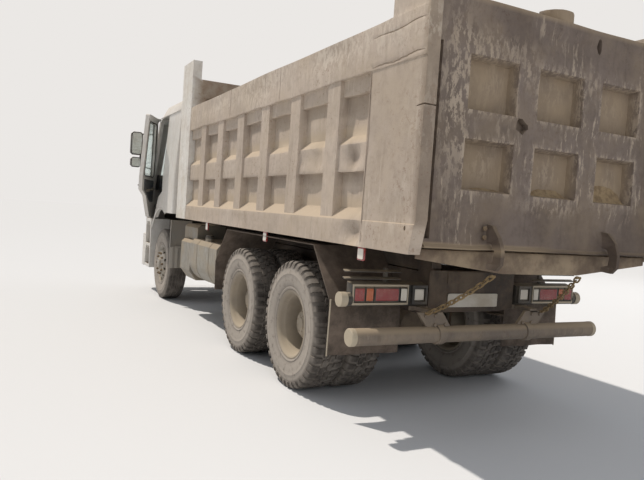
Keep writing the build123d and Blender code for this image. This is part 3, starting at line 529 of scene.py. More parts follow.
class Surface:
    """A finish layered up in one node tree, from the material itself outwards."""

    def __init__(self, tree: bpy.types.NodeTree, base: Coat) -> None:
        """Start from the bare material, read in Object coordinates."""
        self.tree = tree
        self.place = node_in(tree, "TexCoord")
        self.colour: Socket | tuple[float, float, float, float] = linear(base.colour)
        self.rough: Socket | float = base.rough
        self.normal: Socket | None = None

    def patches(
        self,
        size_mm: float,
        low: float,
        high: float,
        most: float | Socket = 1.0,
        stretch: Sequence[float] = (1, 1, 1),
        detail: float = 6.0,
        grain: float = 0.6,
    ) -> Socket:
        """Share of a coat that lies in patches: noise brought from low..high to 0..most.

        Args:
            size_mm: Breadth of the largest patches.
            low: Noise value where the coat starts.
            high: Noise value where it is full.
            most: The share where it is full, or another share that this one thins.
            stretch: How much finer the pattern is along X, Y and Z.
            detail: How many finer levels the edges have.
            grain: How strong the finer levels are.

        Returns:
            The share, from 0 to 1.
        """
        place = self.place.outputs["Object"]
        if tuple(stretch) != (1, 1, 1):
            place = node_in(self.tree, "Mapping",
                {"Vector": place, "Scale": tuple(stretch)}).outputs["Vector"]
        links = {"Vector": place, "Scale": 1000 / size_mm, "Detail": detail, "Roughness": grain}
        noise = node_in(self.tree, "TexNoise", links).outputs["Fac"]
        links = {"Value": noise, "From Min": low, "From Max": high, "To Max": most}
        return node_in(self.tree, "MapRange", links, interpolation_type="SMOOTHSTEP").outputs["Result"]

    def looking_up(self, low: float = 0.2, high: float = 0.8, most: float | Socket = 1.0) -> Socket:
        """Share of a coat that lies on what faces up, where dust settles. It stays with the part as it
        moves."""
        up = node_in(self.tree, "SeparateXYZ", {0: self.place.outputs["Normal"]}).outputs["Z"]
        links = {"Value": up, "From Min": low, "From Max": high, "To Max": most}
        return node_in(self.tree, "MapRange", links, interpolation_type="SMOOTHSTEP").outputs["Result"]

    def marked(self, kind: Mark, most: float = 1.0) -> Socket:
        """Share of a coat that the mesh itself marks."""
        share = node_in(self.tree, "Attribute", attribute_name=kind.value).outputs["Fac"]
        return node_in(self.tree, "MapRange", {"Value": share, "To Max": most}).outputs["Result"]

    def lay(self, share: Socket, coat: Coat, thick_mm: float = 0.0) -> "Surface":
        """Lay a coat over its share of the surface.

        Args:
            share: Where it lies, from 0 to 1.
            coat: Its colour and roughness.
            thick_mm: How far its edge stands up, or down where it is a loss.

        Returns:
            This surface.
        """
        links = {0: share, 6: self.colour, 7: linear(coat.colour)}
        self.colour = node_in(self.tree, "Mix", links, data_type="RGBA").outputs[2]
        self.rough = node_in(self.tree, "Mix", {0: share, 2: self.rough, 3: coat.rough}).outputs[0]
        if thick_mm:
            self.raise_by(share, thick_mm)
        return self

    def raise_by(self, height: Socket, depth_mm: float) -> "Surface":
        """Turn a 0..1 height into relief that is depth_mm deep, on top of earlier relief."""
        links: dict[str | int, object] = {"Height": height, "Distance": abs(depth_mm) / 1000, "Strength": 1.0}
        if self.normal is not None:
            links["Normal"] = self.normal
        self.normal = node_in(self.tree, "Bump", links, invert=depth_mm < 0).outputs["Normal"]
        return self

    def shader(self, **extra: object) -> Socket:
        """The finished surface's shader, with any further inputs named with underscores for spaces."""
        links: dict[str | int, object] = {"Base Color": self.colour, "Roughness": self.rough}
        if self.normal is not None:
            links["Normal"] = self.normal
        links.update({name.replace("_", " "): value for name, value in extra.items()})
        return node_in(self.tree, "BsdfPrincipled", links).outputs["BSDF"]


@dataclass(frozen=True)
class Finish:
    """A surface whose material is made once and shared."""

    name: str

    def material(self) -> bpy.types.Material:
        """The finish's material, made on first use."""
        found = bpy.data.materials.get(self.name)
        if found is None:
            found = bpy.data.materials.new(self.name)
            found.use_nodes = True
            found.node_tree.nodes.clear()
            out = node_in(found.node_tree, "OutputMaterial")
            found.node_tree.links.new(self.surface(found.node_tree), out.inputs["Surface"])
        return found

    def surface(self, tree: bpy.types.NodeTree) -> Socket:
        """Build the shader and give its output socket."""
        raise NotImplementedError


@dataclass(frozen=True)
class MachineEnamel(Finish):
    """Alkyd machine enamel sprayed on rolled plate. It fades in clouds, scrapes off along the way that
    loads slide,
    chips to rust, runs with dirty water and holds road dust on every ledge."""

    paint: Coat = Coat("#B9AC9B", 0.62)
    faded: Coat = Coat("#C9BEAF", 0.7)
    grime: Coat = Coat("#85776A", 0.8)
    bare: Coat = Coat("#D2C8BA", 0.55)
    rust: Coat = Coat("#6E4F3A", 0.85)
    dust: Coat = Coat("#C4B49C", 0.92)
    fading: float = 0.9
    soiling: float = 0.35
    scraping: float = 0.4
    chipping: float = 0.3
    streaking: float = 0.35
    dusting: float = 0.35
    settled: float = 0.85
    patch_mm: float = 800.0
    dents_mm: float = 4.0
    grain_mm: float = 0.6
    drag: tuple[float, float, float] = (4, 4, 0.9)

    def surface(self, tree: bpy.types.NodeTree) -> Socket:
        """Layers from the plate up: paint, fading, grime, runs, scrapes, marked grime and painted shade,
        chips, dust, marked dust and painted light.
        """
        made = Surface(tree, self.paint)
        made.raise_by(made.patches(420, 0.2, 0.8, detail=2, grain=0.4), self.dents_mm)
        made.lay(made.patches(self.patch_mm, 0.36, 0.64, self.fading), self.faded)
        made.lay(made.patches(70, 0.42, 0.75, self.soiling, detail=9, grain=0.72), self.grime)
        # drying water leaves thin upright lines, tapering down from each rail
        made.lay(made.patches(320, 0.5, 0.74, self.streaking, (7, 7, 0.5), 8, 0.68), self.grime)
        # the paint flakes off in short upright strips where the plate shows pale
        where = made.patches(520, 0.45, 0.62, self.scraping, detail=4)
        made.lay(made.patches(170, 0.53, 0.6, where, self.drag, 9, 0.7), self.bare)
        # marked grime; on the bed sides, the apron and the gate's catches it is painted shade
        made.lay(made.marked(Mark.GRIME_AND_SHADE), self.grime)
        broken = made.patches(85, 0.47, 0.56, made.marked(Mark.SCRAPED), (2.2, 2.2, 1), 9, 0.7)
        made.lay(broken, self.bare)
        where = made.patches(340, 0.42, 0.66, self.chipping, detail=6)
        chips = made.patches(30, 0.55, 0.62, where, detail=9, grain=0.74)
        made.lay(chips, self.rust, -0.4)
        made.lay(made.patches(160, 0.36, 0.68, made.marked(Mark.RUSTED), detail=7, grain=0.62), self.rust)
        made.lay(made.patches(460, 0.4, 0.68, self.dusting, detail=9, grain=0.68), self.dust)
        made.lay(made.looking_up(0.15, 0.75, self.settled), self.dust)
        # marked dust; on the bed sides it is partly painted sunlight above the ledges
        made.lay(made.marked(Mark.DUST_AND_PAINTED_LIGHT), self.dust)
        made.raise_by(made.patches(8, 0.2, 0.8, detail=5, grain=0.7), self.grain_mm)
        return made.shader()


@dataclass(frozen=True)
class MouldedRubber(Finish):
    """Vulcanised carbon-black rubber from a mould: matt black in the grooves, grey where road dust is
    pressed in."""

    rubber: Coat = Coat("#37322E", 0.86)
    worn: Coat = Coat("#57504A", 0.8)
    dust: Coat = Coat("#A59D94", 0.95)
    clouding: float = 0.35

    def surface(self, tree: bpy.types.NodeTree) -> Socket:
        """Dark rubber, scuffed in patches, under marked and settled dust, with a fine moulded grain."""
        made = Surface(tree, self.rubber)
        made.lay(made.patches(90, 0.4, 0.7, 0.6, detail=8, grain=0.7), self.worn)
        made.lay(made.patches(170, 0.35, 0.7, self.clouding, detail=9, grain=0.72), self.dust)
        # marked dust; its gap in the groove near the bead is a painted shaded line
        made.lay(made.patches(60, 0.2, 0.5, made.marked(Mark.DUST_AND_PAINTED_LIGHT), detail=9, grain=0.7), self.dust)
        made.lay(made.looking_up(0.3, 0.95, 0.25), self.dust)
        made.raise_by(made.patches(7, 0.2, 0.8, detail=5, grain=0.7), 0.7)
        return made.shader()


@dataclass(frozen=True)
class DustyGlass(Finish):
    """Toughened float glass: clear and dark against the cab's inside, with a thin film of dried dust."""

    tint: str = "#DCE6E3"
    dust: Coat = Coat("#B8AA96", 0.9)

    def surface(self, tree: bpy.types.NodeTree) -> Socket:
        """Clear transmission, mixed with dust where it has dried."""
        made = Surface(tree, Coat(self.tint, 0.03))
        film = made.patches(260, 0.42, 0.78, 0.3, detail=7, grain=0.65)
        clear = made.shader(Transmission_Weight=1.0, IOR=1.5)
        dried = Surface(tree, self.dust).shader()
        return node_in(tree, "MixShader", {0: film, 1: clear, 2: dried}).outputs[0]


@dataclass(frozen=True)
class GroundSteel(Finish):
    """Hard chrome on a ground steel rod: a mirror broken by fine rings and a dusty oil film."""

    metal: Coat = Coat("#C9C9CB", 0.12)
    film: Coat = Coat("#8C8378", 0.5)

    def surface(self, tree: bpy.types.NodeTree) -> Socket:
        """Bright metal with a film that lies in rings round the rod."""
        made = Surface(tree, self.metal)
        made.lay(made.patches(400, 0.45, 0.75, 0.6, (1, 1, 24), 5, 0.6), self.film)
        return made.shader(Metallic=1.0)


@dataclass(frozen=True)
class MouldedPlastic(Finish):
    """Injection-moulded polypropylene: one even colour with a fine leather grain, greyed by dust on top."""

    plastic: Coat = Coat("#2C2B2A", 0.5)
    dust: Coat = Coat("#A69985", 0.9)
    dusting: float = 0.3
    settled: float = 0.6

    def surface(self, tree: bpy.types.NodeTree) -> Socket:
        """Plain colour with a dust cloud and a fine grain."""
        made = Surface(tree, self.plastic)
        made.lay(made.patches(300, 0.36, 0.7, self.dusting, detail=8, grain=0.7), self.dust)
        made.lay(made.looking_up(0.3, 0.9, self.settled), self.dust)
        made.lay(made.marked(Mark.DUST_AND_PAINTED_LIGHT), self.dust)
        made.raise_by(made.patches(5, 0.2, 0.8, detail=4), 0.2)
        return made.shader()


@dataclass(frozen=True)
class LampLens(Finish):
    """Injection-moulded clear acrylic dyed in the mass: deep in colour, glossy, softened by dust."""

    dye: Coat = Coat("#8C1719", 0.18)
    dust: Coat = Coat("#B7A894", 0.85)

    def surface(self, tree: bpy.types.NodeTree) -> Socket:
        """Dyed gloss under a thin patchy film of dust."""
        made = Surface(tree, self.dye)
        made.lay(made.patches(120, 0.4, 0.75, 0.2, detail=7, grain=0.7), self.dust)
        return made.shader(Coat_Weight=0.6, Coat_Roughness=0.08)


@dataclass(frozen=True)
class WovenTrim(Finish):
    """Woven polyester over foam: soft, matt and faintly ribbed by its weave."""

    cloth: Coat = Coat("#4A5058", 0.95)
    worn: Coat = Coat("#6B6E70", 0.95)

    def surface(self, tree: bpy.types.NodeTree) -> Socket:
        """Cloth with paler wear and a fine ribbed weave."""
        made = Surface(tree, self.cloth)
        made.lay(made.patches(150, 0.4, 0.7, 0.5, detail=7), self.worn)
        weave = node_in(tree, "TexWave", {"Vector": made.place.outputs["Object"], "Scale": 90.0},
            bands_direction="Y")
        made.raise_by(weave.outputs["Fac"], 0.5)
        return made.shader(Sheen_Weight=0.4)


@dataclass(frozen=True)
class DrySoil(Finish):
    """Dry sandy soil packed by shaking: a matt crumb with darker damp patches."""

    soil: Coat = Coat("#A08B6C", 0.97)
    damp: Coat = Coat("#7C6850", 0.95)

    def surface(self, tree: bpy.types.NodeTree) -> Socket:
        """Two soil tones under a coarse and a fine crumb."""
        made = Surface(tree, self.soil)
        made.lay(made.patches(60, 0.4, 0.65, 0.8, detail=8), self.damp)
        made.raise_by(made.patches(22, 0.3, 0.7, detail=6, grain=0.7), 5.0)
        made.raise_by(made.patches(6, 0.3, 0.7, detail=4, grain=0.7), 1.5)
        return made.shader()


BED_PAINT = MachineEnamel(
    "alkyd_enamel_on_rolled_plate",
    paint=Coat("#A89A8C", 0.62),
    faded=Coat("#BBADA0", 0.7),
    grime=Coat("#7C6E61", 0.8),
    bare=Coat("#C9BEB0", 0.55),
    dust=Coat("#B9A994", 0.92),
    chipping=0.5,
)
GATE_PAINT = MachineEnamel(
    "scraped_enamel_on_rolled_plate",
    paint=Coat("#62564D", 0.6),
    faded=Coat("#72665F", 0.68),
    grime=Coat("#4C4038", 0.82),
    bare=Coat("#A49686", 0.6),
    rust=Coat("#4F3B2E", 0.85),
    dust=Coat("#94836D", 0.92),
    soiling=0.45,
    scraping=0.85,
    chipping=0.5,
    streaking=0.45,
    dusting=0.3,
    settled=0.3,
)
CAB_PAINT = MachineEnamel(
    "baked_enamel_on_pressed_steel",
    paint=Coat("#D2CFCA", 0.35),
    faded=Coat("#DAD7D3", 0.45),
    grime=Coat("#A69B8C", 0.75),
    bare=Coat("#C9C5BE", 0.5),
    rust=Coat("#8A6448", 0.85),
    dust=Coat("#C2B8A8", 0.9),
    soiling=0.25,
    scraping=0.2,
    chipping=0.12,
    streaking=0.3,
    dusting=0.3,
    settled=0.45,
    dents_mm=0.8,
    grain_mm=0.15,
)
POST_PAINT = MachineEnamel(
    "enamel_on_folded_headboard",
    paint=Coat("#D9D6D0", 0.5),
    faded=Coat("#E4E1DC", 0.55),
    grime=Coat("#9C8E7D", 0.8),
    bare=Coat("#BDB3A5", 0.6),
    rust=Coat("#77553D", 0.85),
    dust=Coat("#C4B7A3", 0.9),
    chipping=0.5,
    streaking=0.5,
    soiling=0.35,
    dents_mm=3.0,
)
FRAME_PAINT = MachineEnamel(
    "primer_black_on_frame_steel",
    paint=Coat("#3C342F", 0.7),
    faded=Coat("#564A41", 0.78),
    grime=Coat("#2E2723", 0.8),
    bare=Coat("#6D5F52", 0.7),
    rust=Coat("#5C3E2B", 0.88),
    dust=Coat("#8C7B67", 0.95),
    chipping=0.6,
    scraping=0.2,
    dusting=0.4,
    dents_mm=0.8,
)
BAR_PAINT = MachineEnamel(
    "worn_enamel_on_tube",
    paint=Coat("#6A6057", 0.6),
    faded=Coat("#7E7265", 0.68),
    grime=Coat("#4C4139", 0.8),
    bare=Coat("#9B8E7C", 0.6),
    rust=Coat("#5C4432", 0.85),
    dust=Coat("#A0907A", 0.93),
    chipping=0.35,
    dents_mm=1.5,
)
CASTING = MachineEnamel(
    "sand_cast_steel",
    paint=Coat("#3D3530", 0.8),
    faded=Coat("#50463E", 0.85),
    grime=Coat("#2B2521", 0.6),
    bare=Coat("#5F544A", 0.75),
    rust=Coat("#5E412E", 0.9),
    dust=Coat("#8F7F6C", 0.95),
    chipping=0.6,
    scraping=0.0,
    dusting=0.6,
    dents_mm=0.8,
    grain_mm=1.6,
)
RIM_PAINT = MachineEnamel(
    "dusty_enamel_on_pressed_rim",
    paint=Coat("#7D756B", 0.65),
    faded=Coat("#8F877C", 0.72),
    grime=Coat("#5E5244", 0.8),
    bare=Coat("#A99D8B", 0.6),
    rust=Coat("#705439", 0.88),
    dust=Coat("#A69A88", 0.95),
    chipping=0.3,
    scraping=0.1,
    streaking=0.0,
    dusting=0.65,
    dents_mm=0.6,
    grain_mm=0.5,
)
STEER_RIM_PAINT = MachineEnamel(
    "silver_enamel_on_pressed_rim",
    paint=Coat("#8F8C88", 0.4),
    faded=Coat("#A5A29D", 0.5),
    grime=Coat("#4A443E", 0.8),
    bare=Coat("#C2BFBA", 0.35),
    rust=Coat("#6A5240", 0.88),
    dust=Coat("#A3998A", 0.95),
    chipping=0.3,
    streaking=0.0,
    dusting=0.35,
    dents_mm=0.5,
    grain_mm=0.3,
)
NUT_STEEL = MachineEnamel(
    "rusted_forged_nuts",
    paint=Coat("#5A4A3B", 0.8),
    faded=Coat("#6E5B48", 0.85),
    grime=Coat("#3A2F27", 0.7),
    rust=Coat("#6E4A30", 0.9),
    dust=Coat("#9C8A6E", 0.95),
    dents_mm=0.0,
)
TANK_SHEET = MachineEnamel(
    "brushed_aluminium_sheet",
    paint=Coat("#7F7A70", 0.45),
    faded=Coat("#918C81", 0.5),
    grime=Coat("#61594E", 0.75),
    bare=Coat("#A8A49A", 0.4),
    rust=Coat("#6B5D4F", 0.8),
    dust=Coat("#9F907B", 0.92),
    chipping=0.0,
    dusting=0.6,
    dents_mm=2.5,
    grain_mm=0.2,
)
HOIST_PAINT = MachineEnamel(
    "enamel_on_drawn_tube",
    paint=Coat("#4E4742", 0.4),
    faded=Coat("#5E554D", 0.5),
    grime=Coat("#2F2925", 0.35),
    bare=Coat("#7A6F63", 0.5),
    rust=Coat("#5A412F", 0.85),
    dust=Coat("#8C7D6B", 0.9),
    dents_mm=0.0,
)
CHAIN_STEEL = MachineEnamel(
    "rusted_welded_chain",
    paint=Coat("#77613F", 0.7),
    faded=Coat("#8C7650", 0.75),
    grime=Coat("#43352A", 0.85),
    bare=Coat("#9C8861", 0.6),
    rust=Coat("#5E4630", 0.9),
    dust=Coat("#A08E70", 0.95),
    soiling=0.6,
    chipping=0.8,
    dents_mm=0.0,
)
FLAP_RUBBER = MouldedRubber(
    "sheet_rubber", rubber=Coat("#4E453D", 0.9), worn=Coat("#63574C", 0.9), dust=Coat("#85766A", 0.95),
    clouding=0.7
)
TYRE_RUBBER = MouldedRubber("tyre_rubber")
SEAL_RUBBER = MouldedRubber("extruded_seal_rubber", clouding=0.15)
GLASS = DustyGlass("toughened_glass")
CHROME = GroundSteel("chromed_rod")
BLACK_PLASTIC = MouldedPlastic("black_polypropylene")
GREY_PLASTIC = MouldedPlastic("grey_polypropylene", plastic=Coat("#94908A", 0.55), dusting=0.45)
TRIM_PLASTIC = MouldedPlastic("dash_polypropylene", plastic=Coat("#41474F", 0.6), dusting=0.2, settled=0.3)
PALE_PLASTIC = MouldedPlastic("pale_polypropylene", plastic=Coat("#B3A894", 0.55), dusting=0.5)
SEAT_CLOTH = WovenTrim("woven_polyester")
RED_LENS = LampLens("red_acrylic")
AMBER_LENS = LampLens("amber_acrylic", dye=Coat("#B5561A", 0.18))
CLEAR_LENS = LampLens("clear_acrylic", dye=Coat("#D8D2C6", 0.18))
SOIL = DrySoil("dry_sandy_soil")
PLATE_SHEET = MouldedPlastic("blank_pressed_plate", plastic=Coat("#C9C4BA", 0.5), dusting=0.7)
FLOOR_PLATE = MachineEnamel(
    "bare_wear_plate",
    paint=Coat("#8A7A68", 0.6),
    faded=Coat("#9C8B76", 0.65),
    grime=Coat("#5E4F42", 0.8),
    bare=Coat("#A79B8C", 0.45),
    rust=Coat("#6B4A35", 0.85),
    dust=Coat("#B3A187", 0.95),
    scraping=0.9,
    chipping=0.8,
    dusting=0.6,
    settled=0.55,
    dents_mm=3.0,
)
REFLECTOR = GroundSteel("vacuum_coated_reflector", metal=Coat("#DADADA", 0.15), film=Coat("#B5ADA0", 0.4))

FINISH_OF_SLOT: dict[str, Finish] = {
    "chassis_paint": FRAME_PAINT,
    "cab_paint": CAB_PAINT,
    "bed_paint": BED_PAINT,
    "tailgate_paint": GATE_PAINT,
    "cast_steel": CASTING,
    "rim_paint": RIM_PAINT,
    "tyre": TYRE_RUBBER,
    "tank": TANK_SHEET,
    "plastic_dark": BLACK_PLASTIC,
    "plastic_grey": GREY_PLASTIC,
    "trim_dark": TRIM_PLASTIC,
    "lamp": RED_LENS,
    "headlamp": GLASS,
    "glass": GLASS,
    "rod_steel": CHROME,
    "hoist_paint": HOIST_PAINT,
    "chain": CHAIN_STEEL,
}


# Studio


@dataclass
class Studio:
    """Pale floor, soft lamps and the camera at the photograph's place."""

    eye: tuple[float, float, float] = (-7.258, 3.440, 1.568)
    yaw_deg: float = -27.153
    pitch_deg: float = -2.601
    roll_deg: float = 3.878
    focal_px: float = 618.4
    photo_px: int = 644
    floor_half: float = 120.0
    floor_colour: str = "#D8DADD"
    sky_colour: str = "#F4F6FA"
    sky_strength: float = 0.4
    backdrop_colour: str = "#EBE8E5"
    backdrop_strength: float = 1.0
    sun_from: tuple[float, float, float] = (0.44, 0.28, 0.853)
    sun_strength: float = 3.1
    sun_width_deg: float = 1.4
    sun_colour: str = "#FFF6EA"

    def camera(self) -> None:
        """Put the camera where the photograph's perspective gives it."""
        yaw, pitch, roll = (math.radians(v) for v in (self.yaw_deg, self.pitch_deg, self.roll_deg))
        ahead = Vector((math.cos(yaw) * math.cos(pitch), math.sin(yaw) * math.cos(pitch), math.sin(pitch)))
        right = Vector((math.sin(yaw), -math.cos(yaw), 0.0))
        up = right.cross(ahead)
        across = math.cos(roll) * right + math.sin(roll) * up
        above = -math.sin(roll) * right + math.cos(roll) * up
        lens = bpy.data.cameras.new("camera")
        lens.sensor_width = 36.0
        lens.lens = self.focal_px / self.photo_px * lens.sensor_width
        lens.clip_end = 400
        holder = bpy.data.objects.new("camera", lens)
        bpy.context.scene.collection.objects.link(holder)
        turn = Matrix((across, above, -ahead)).transposed().to_4x4()
        holder.matrix_world = Matrix.Translation(self.eye) @ turn
        bpy.context.scene.camera = holder

    def floor(self) -> None:
        """A wide flat floor, shaded matt."""
        h = self.floor_half
        mesh = bpy.data.meshes.new("floor")
        mesh.from_pydata([(-h, -h, 0), (h, -h, 0), (h, h, 0), (-h, h, 0)], [], [[0, 1, 2, 3]])
        ground = bpy.data.objects.new("floor", mesh)
        bpy.context.scene.collection.objects.link(ground)
        paint = bpy.data.materials.new("floor")
        paint.use_nodes = True
        paint.node_tree.nodes.clear()
        links = {"Base Color": linear(self.floor_colour), "Roughness": 1.0, "Specular IOR Level": 0.0}
        matt = node_in(paint.node_tree, "BsdfPrincipled", links)
        node_in(paint.node_tree, "OutputMaterial", {"Surface": matt.outputs["BSDF"]})
        ground.data.materials.append(paint)

    def sky(self) -> None:
        """An even sky that looks white to the camera and in gloss, and lights the truck more gently."""
        world = bpy.data.worlds.new("studio")
        bpy.context.scene.world = world
        world.use_nodes = True
        tree = world.node_tree
        tree.nodes.clear()
        path = node_in(tree, "LightPath").outputs
        links = {0: path["Is Camera Ray"], 1: path["Is Transmission Ray"]}
        seen = node_in(tree, "Math", links, operation="MAXIMUM").outputs[0]
        seen = node_in(tree, "Math", {0: seen, 1: path["Is Glossy Ray"]}, operation="MAXIMUM").outputs[0]
        links = {"Color": linear(self.sky_colour), "Strength": self.sky_strength}
        dim = node_in(tree, "Background", links).outputs[0]
        links = {"Color": linear(self.backdrop_colour), "Strength": self.backdrop_strength}
        bright = node_in(tree, "Background", links).outputs[0]
        mix = node_in(tree, "MixShader", {0: seen, 1: dim, 2: bright}).outputs[0]
        node_in(tree, "OutputWorld", {"Surface": mix})

    def lamp(
        self, name: str, place: Sequence[float], aim: Sequence[float], size: float, watts: float, tint: str
    ) -> None:
        """One square soft box."""
        light = bpy.data.lights.new(name, "AREA")
        light.size = size
        light.energy = watts
        light.color = linear(tint)[:3]
        holder = bpy.data.objects.new(name, light)
        bpy.context.scene.collection.objects.link(holder)
        aim_at = (Vector(aim) - Vector(place)).to_track_quat("-Z", "Y").to_matrix().to_4x4()
        holder.matrix_world = Matrix.Translation(place) @ aim_at

    def sun(self) -> None:
        """The key lamp: high, ahead and a little to the left, as the shadows in the photograph's panels
        show."""
        light = bpy.data.lights.new("sun", "SUN")
        light.energy = self.sun_strength
        light.angle = math.radians(self.sun_width_deg)
        light.color = linear(self.sun_colour)[:3]
        holder = bpy.data.objects.new("sun", light)
        bpy.context.scene.collection.objects.link(holder)
        holder.matrix_world = Vector(self.sun_from).to_track_quat("Z", "Y").to_matrix().to_4x4()

    def build(self) -> None:
        """Set up the camera, floor, sky and lamps."""
        bpy.context.scene.view_settings.view_transform = "Standard"
        self.camera()
        self.floor()
        self.sky()
        self.sun()
        self.lamp("fill", (-14.0, 2.0, 7.0), (-3.0, 0.0, 1.5), 8.0, 260, "#FFFFFF")
        self.lamp("rim", (2.0, -14.0, 10.0), (0.0, 0.0, 1.5), 8.0, 260, "#FFFFFF")


# Wheels


def centre_of(node: str) -> Vector:
    """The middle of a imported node's box."""
    low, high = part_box(node)
    return (Vector(low) + Vector(high)) / 2


@dataclass(frozen=True)
class Tread:
    """Traction blocks moulded round a tyre: two rows in the middle and a row of lugs over each shoulder."""

    radius: float = 0.562
    base: float = 0.545
    pitches: int = 40
    # columns: radius, distance from the middle, share of the pitch where the lug starts, and where it ends
    lug: tuple[tuple[float, float, float, float], ...] = (
        (0.540, 0.060, 0.16, 0.74),
        (0.5612, 0.063, 0.20, 0.70),
        (0.562, 0.090, 0.15, 0.72),
        (0.5585, 0.124, 0.10, 0.70),
        (0.545, 0.1445, 0.08, 0.66),
        (0.522, 0.1530, 0.09, 0.60),
        (0.503, 0.1535, 0.15, 0.52),
        (0.500, 0.142, 0.15, 0.52),
    )
    # columns: share of the pitch, distance from the middle
    block: tuple[tuple[float, float], ...] = (
        (0.06, 0.007), (0.40, 0.004), (0.82, 0.012), (0.90, 0.050), (0.52, 0.056), (0.14, 0.046),
    )

    def angles(self, share: np.ndarray, start: float) -> np.ndarray:
        """The angle of every pitch's copy of each share: 2 pi (pitch + share + start) / pitches."""
        pitch = np.arange(self.pitches).reshape(-1, *([1] * share.ndim))
        return 2 * np.pi * (pitch + share + start) / self.pitches

    def lugs(self, side: float) -> tuple[Points, Faces]:
        """Every shoulder lug of one side: the section (r, w) stands at the lug's two ends as (r cos a, w,
        r sin a)."""
        r, w, start, end = (column[:, None] for column in np.array(self.lug).T)
        share = np.concatenate([start, end], axis=1)
        # the two shoulders are half a pitch apart, and their slant is mirrored
        share = share if side > 0 else 0.5 - share
        a = self.angles(share, 0.0)
        r, w = np.broadcast_to(r, a.shape), np.broadcast_to(side * w, a.shape)
        points = np.stack([r * np.cos(a), w, r * np.sin(a)], axis=-1)
        n = len(self.lug)
        one = grid_faces(n, 2, True, False).tolist()
        one += [list(range(0, 2 * n, 2))[::-1], list(range(1, 2 * n, 2))]
        return self.repeated(points, one, 2 * n)

    def blocks(self, side: float) -> tuple[Points, Faces]:
        """Every middle block of one side: its outline stands at the base and, drawn in a little, at the
        top."""
        u, w = np.array(self.block).T
        u0, w0 = u.mean(), w.mean()
        rings = [(self.base - 0.003, 1.0, 1.0), (self.radius - 0.002, 0.95, 0.93), (self.radius, 0.88, 0.86)]
        r = np.array([[level] * len(u) for level, _, _ in rings])
        share = np.array([u0 + (u - u0) * du for _, du, _ in rings])
        across = np.array([w0 + (w - w0) * dw for _, _, dw in rings]) * side
        share = share if side > 0 else 1.0 - share
        a = self.angles(share, 0.25 if side > 0 else 0.75)
        r, across = np.broadcast_to(r, a.shape), np.broadcast_to(across, a.shape)
        points = np.stack([r * np.cos(a), across, r * np.sin(a)], axis=-1)
        n = len(u)
        one = grid_faces(3, n, False, True).tolist()
        one += [list(range(n))[::-1], list(range(2 * n, 3 * n))]
        return self.repeated(points, one, 3 * n)

    def repeated(self, points: Points, one: list[list[int]], count: int) -> tuple[Points, Faces]:
        """Index the faces of one copy for every pitch."""
        faces = [[i + count * pitch for i in face] for pitch in range(self.pitches) for face in one]
        return points.reshape(-1, 3), faces


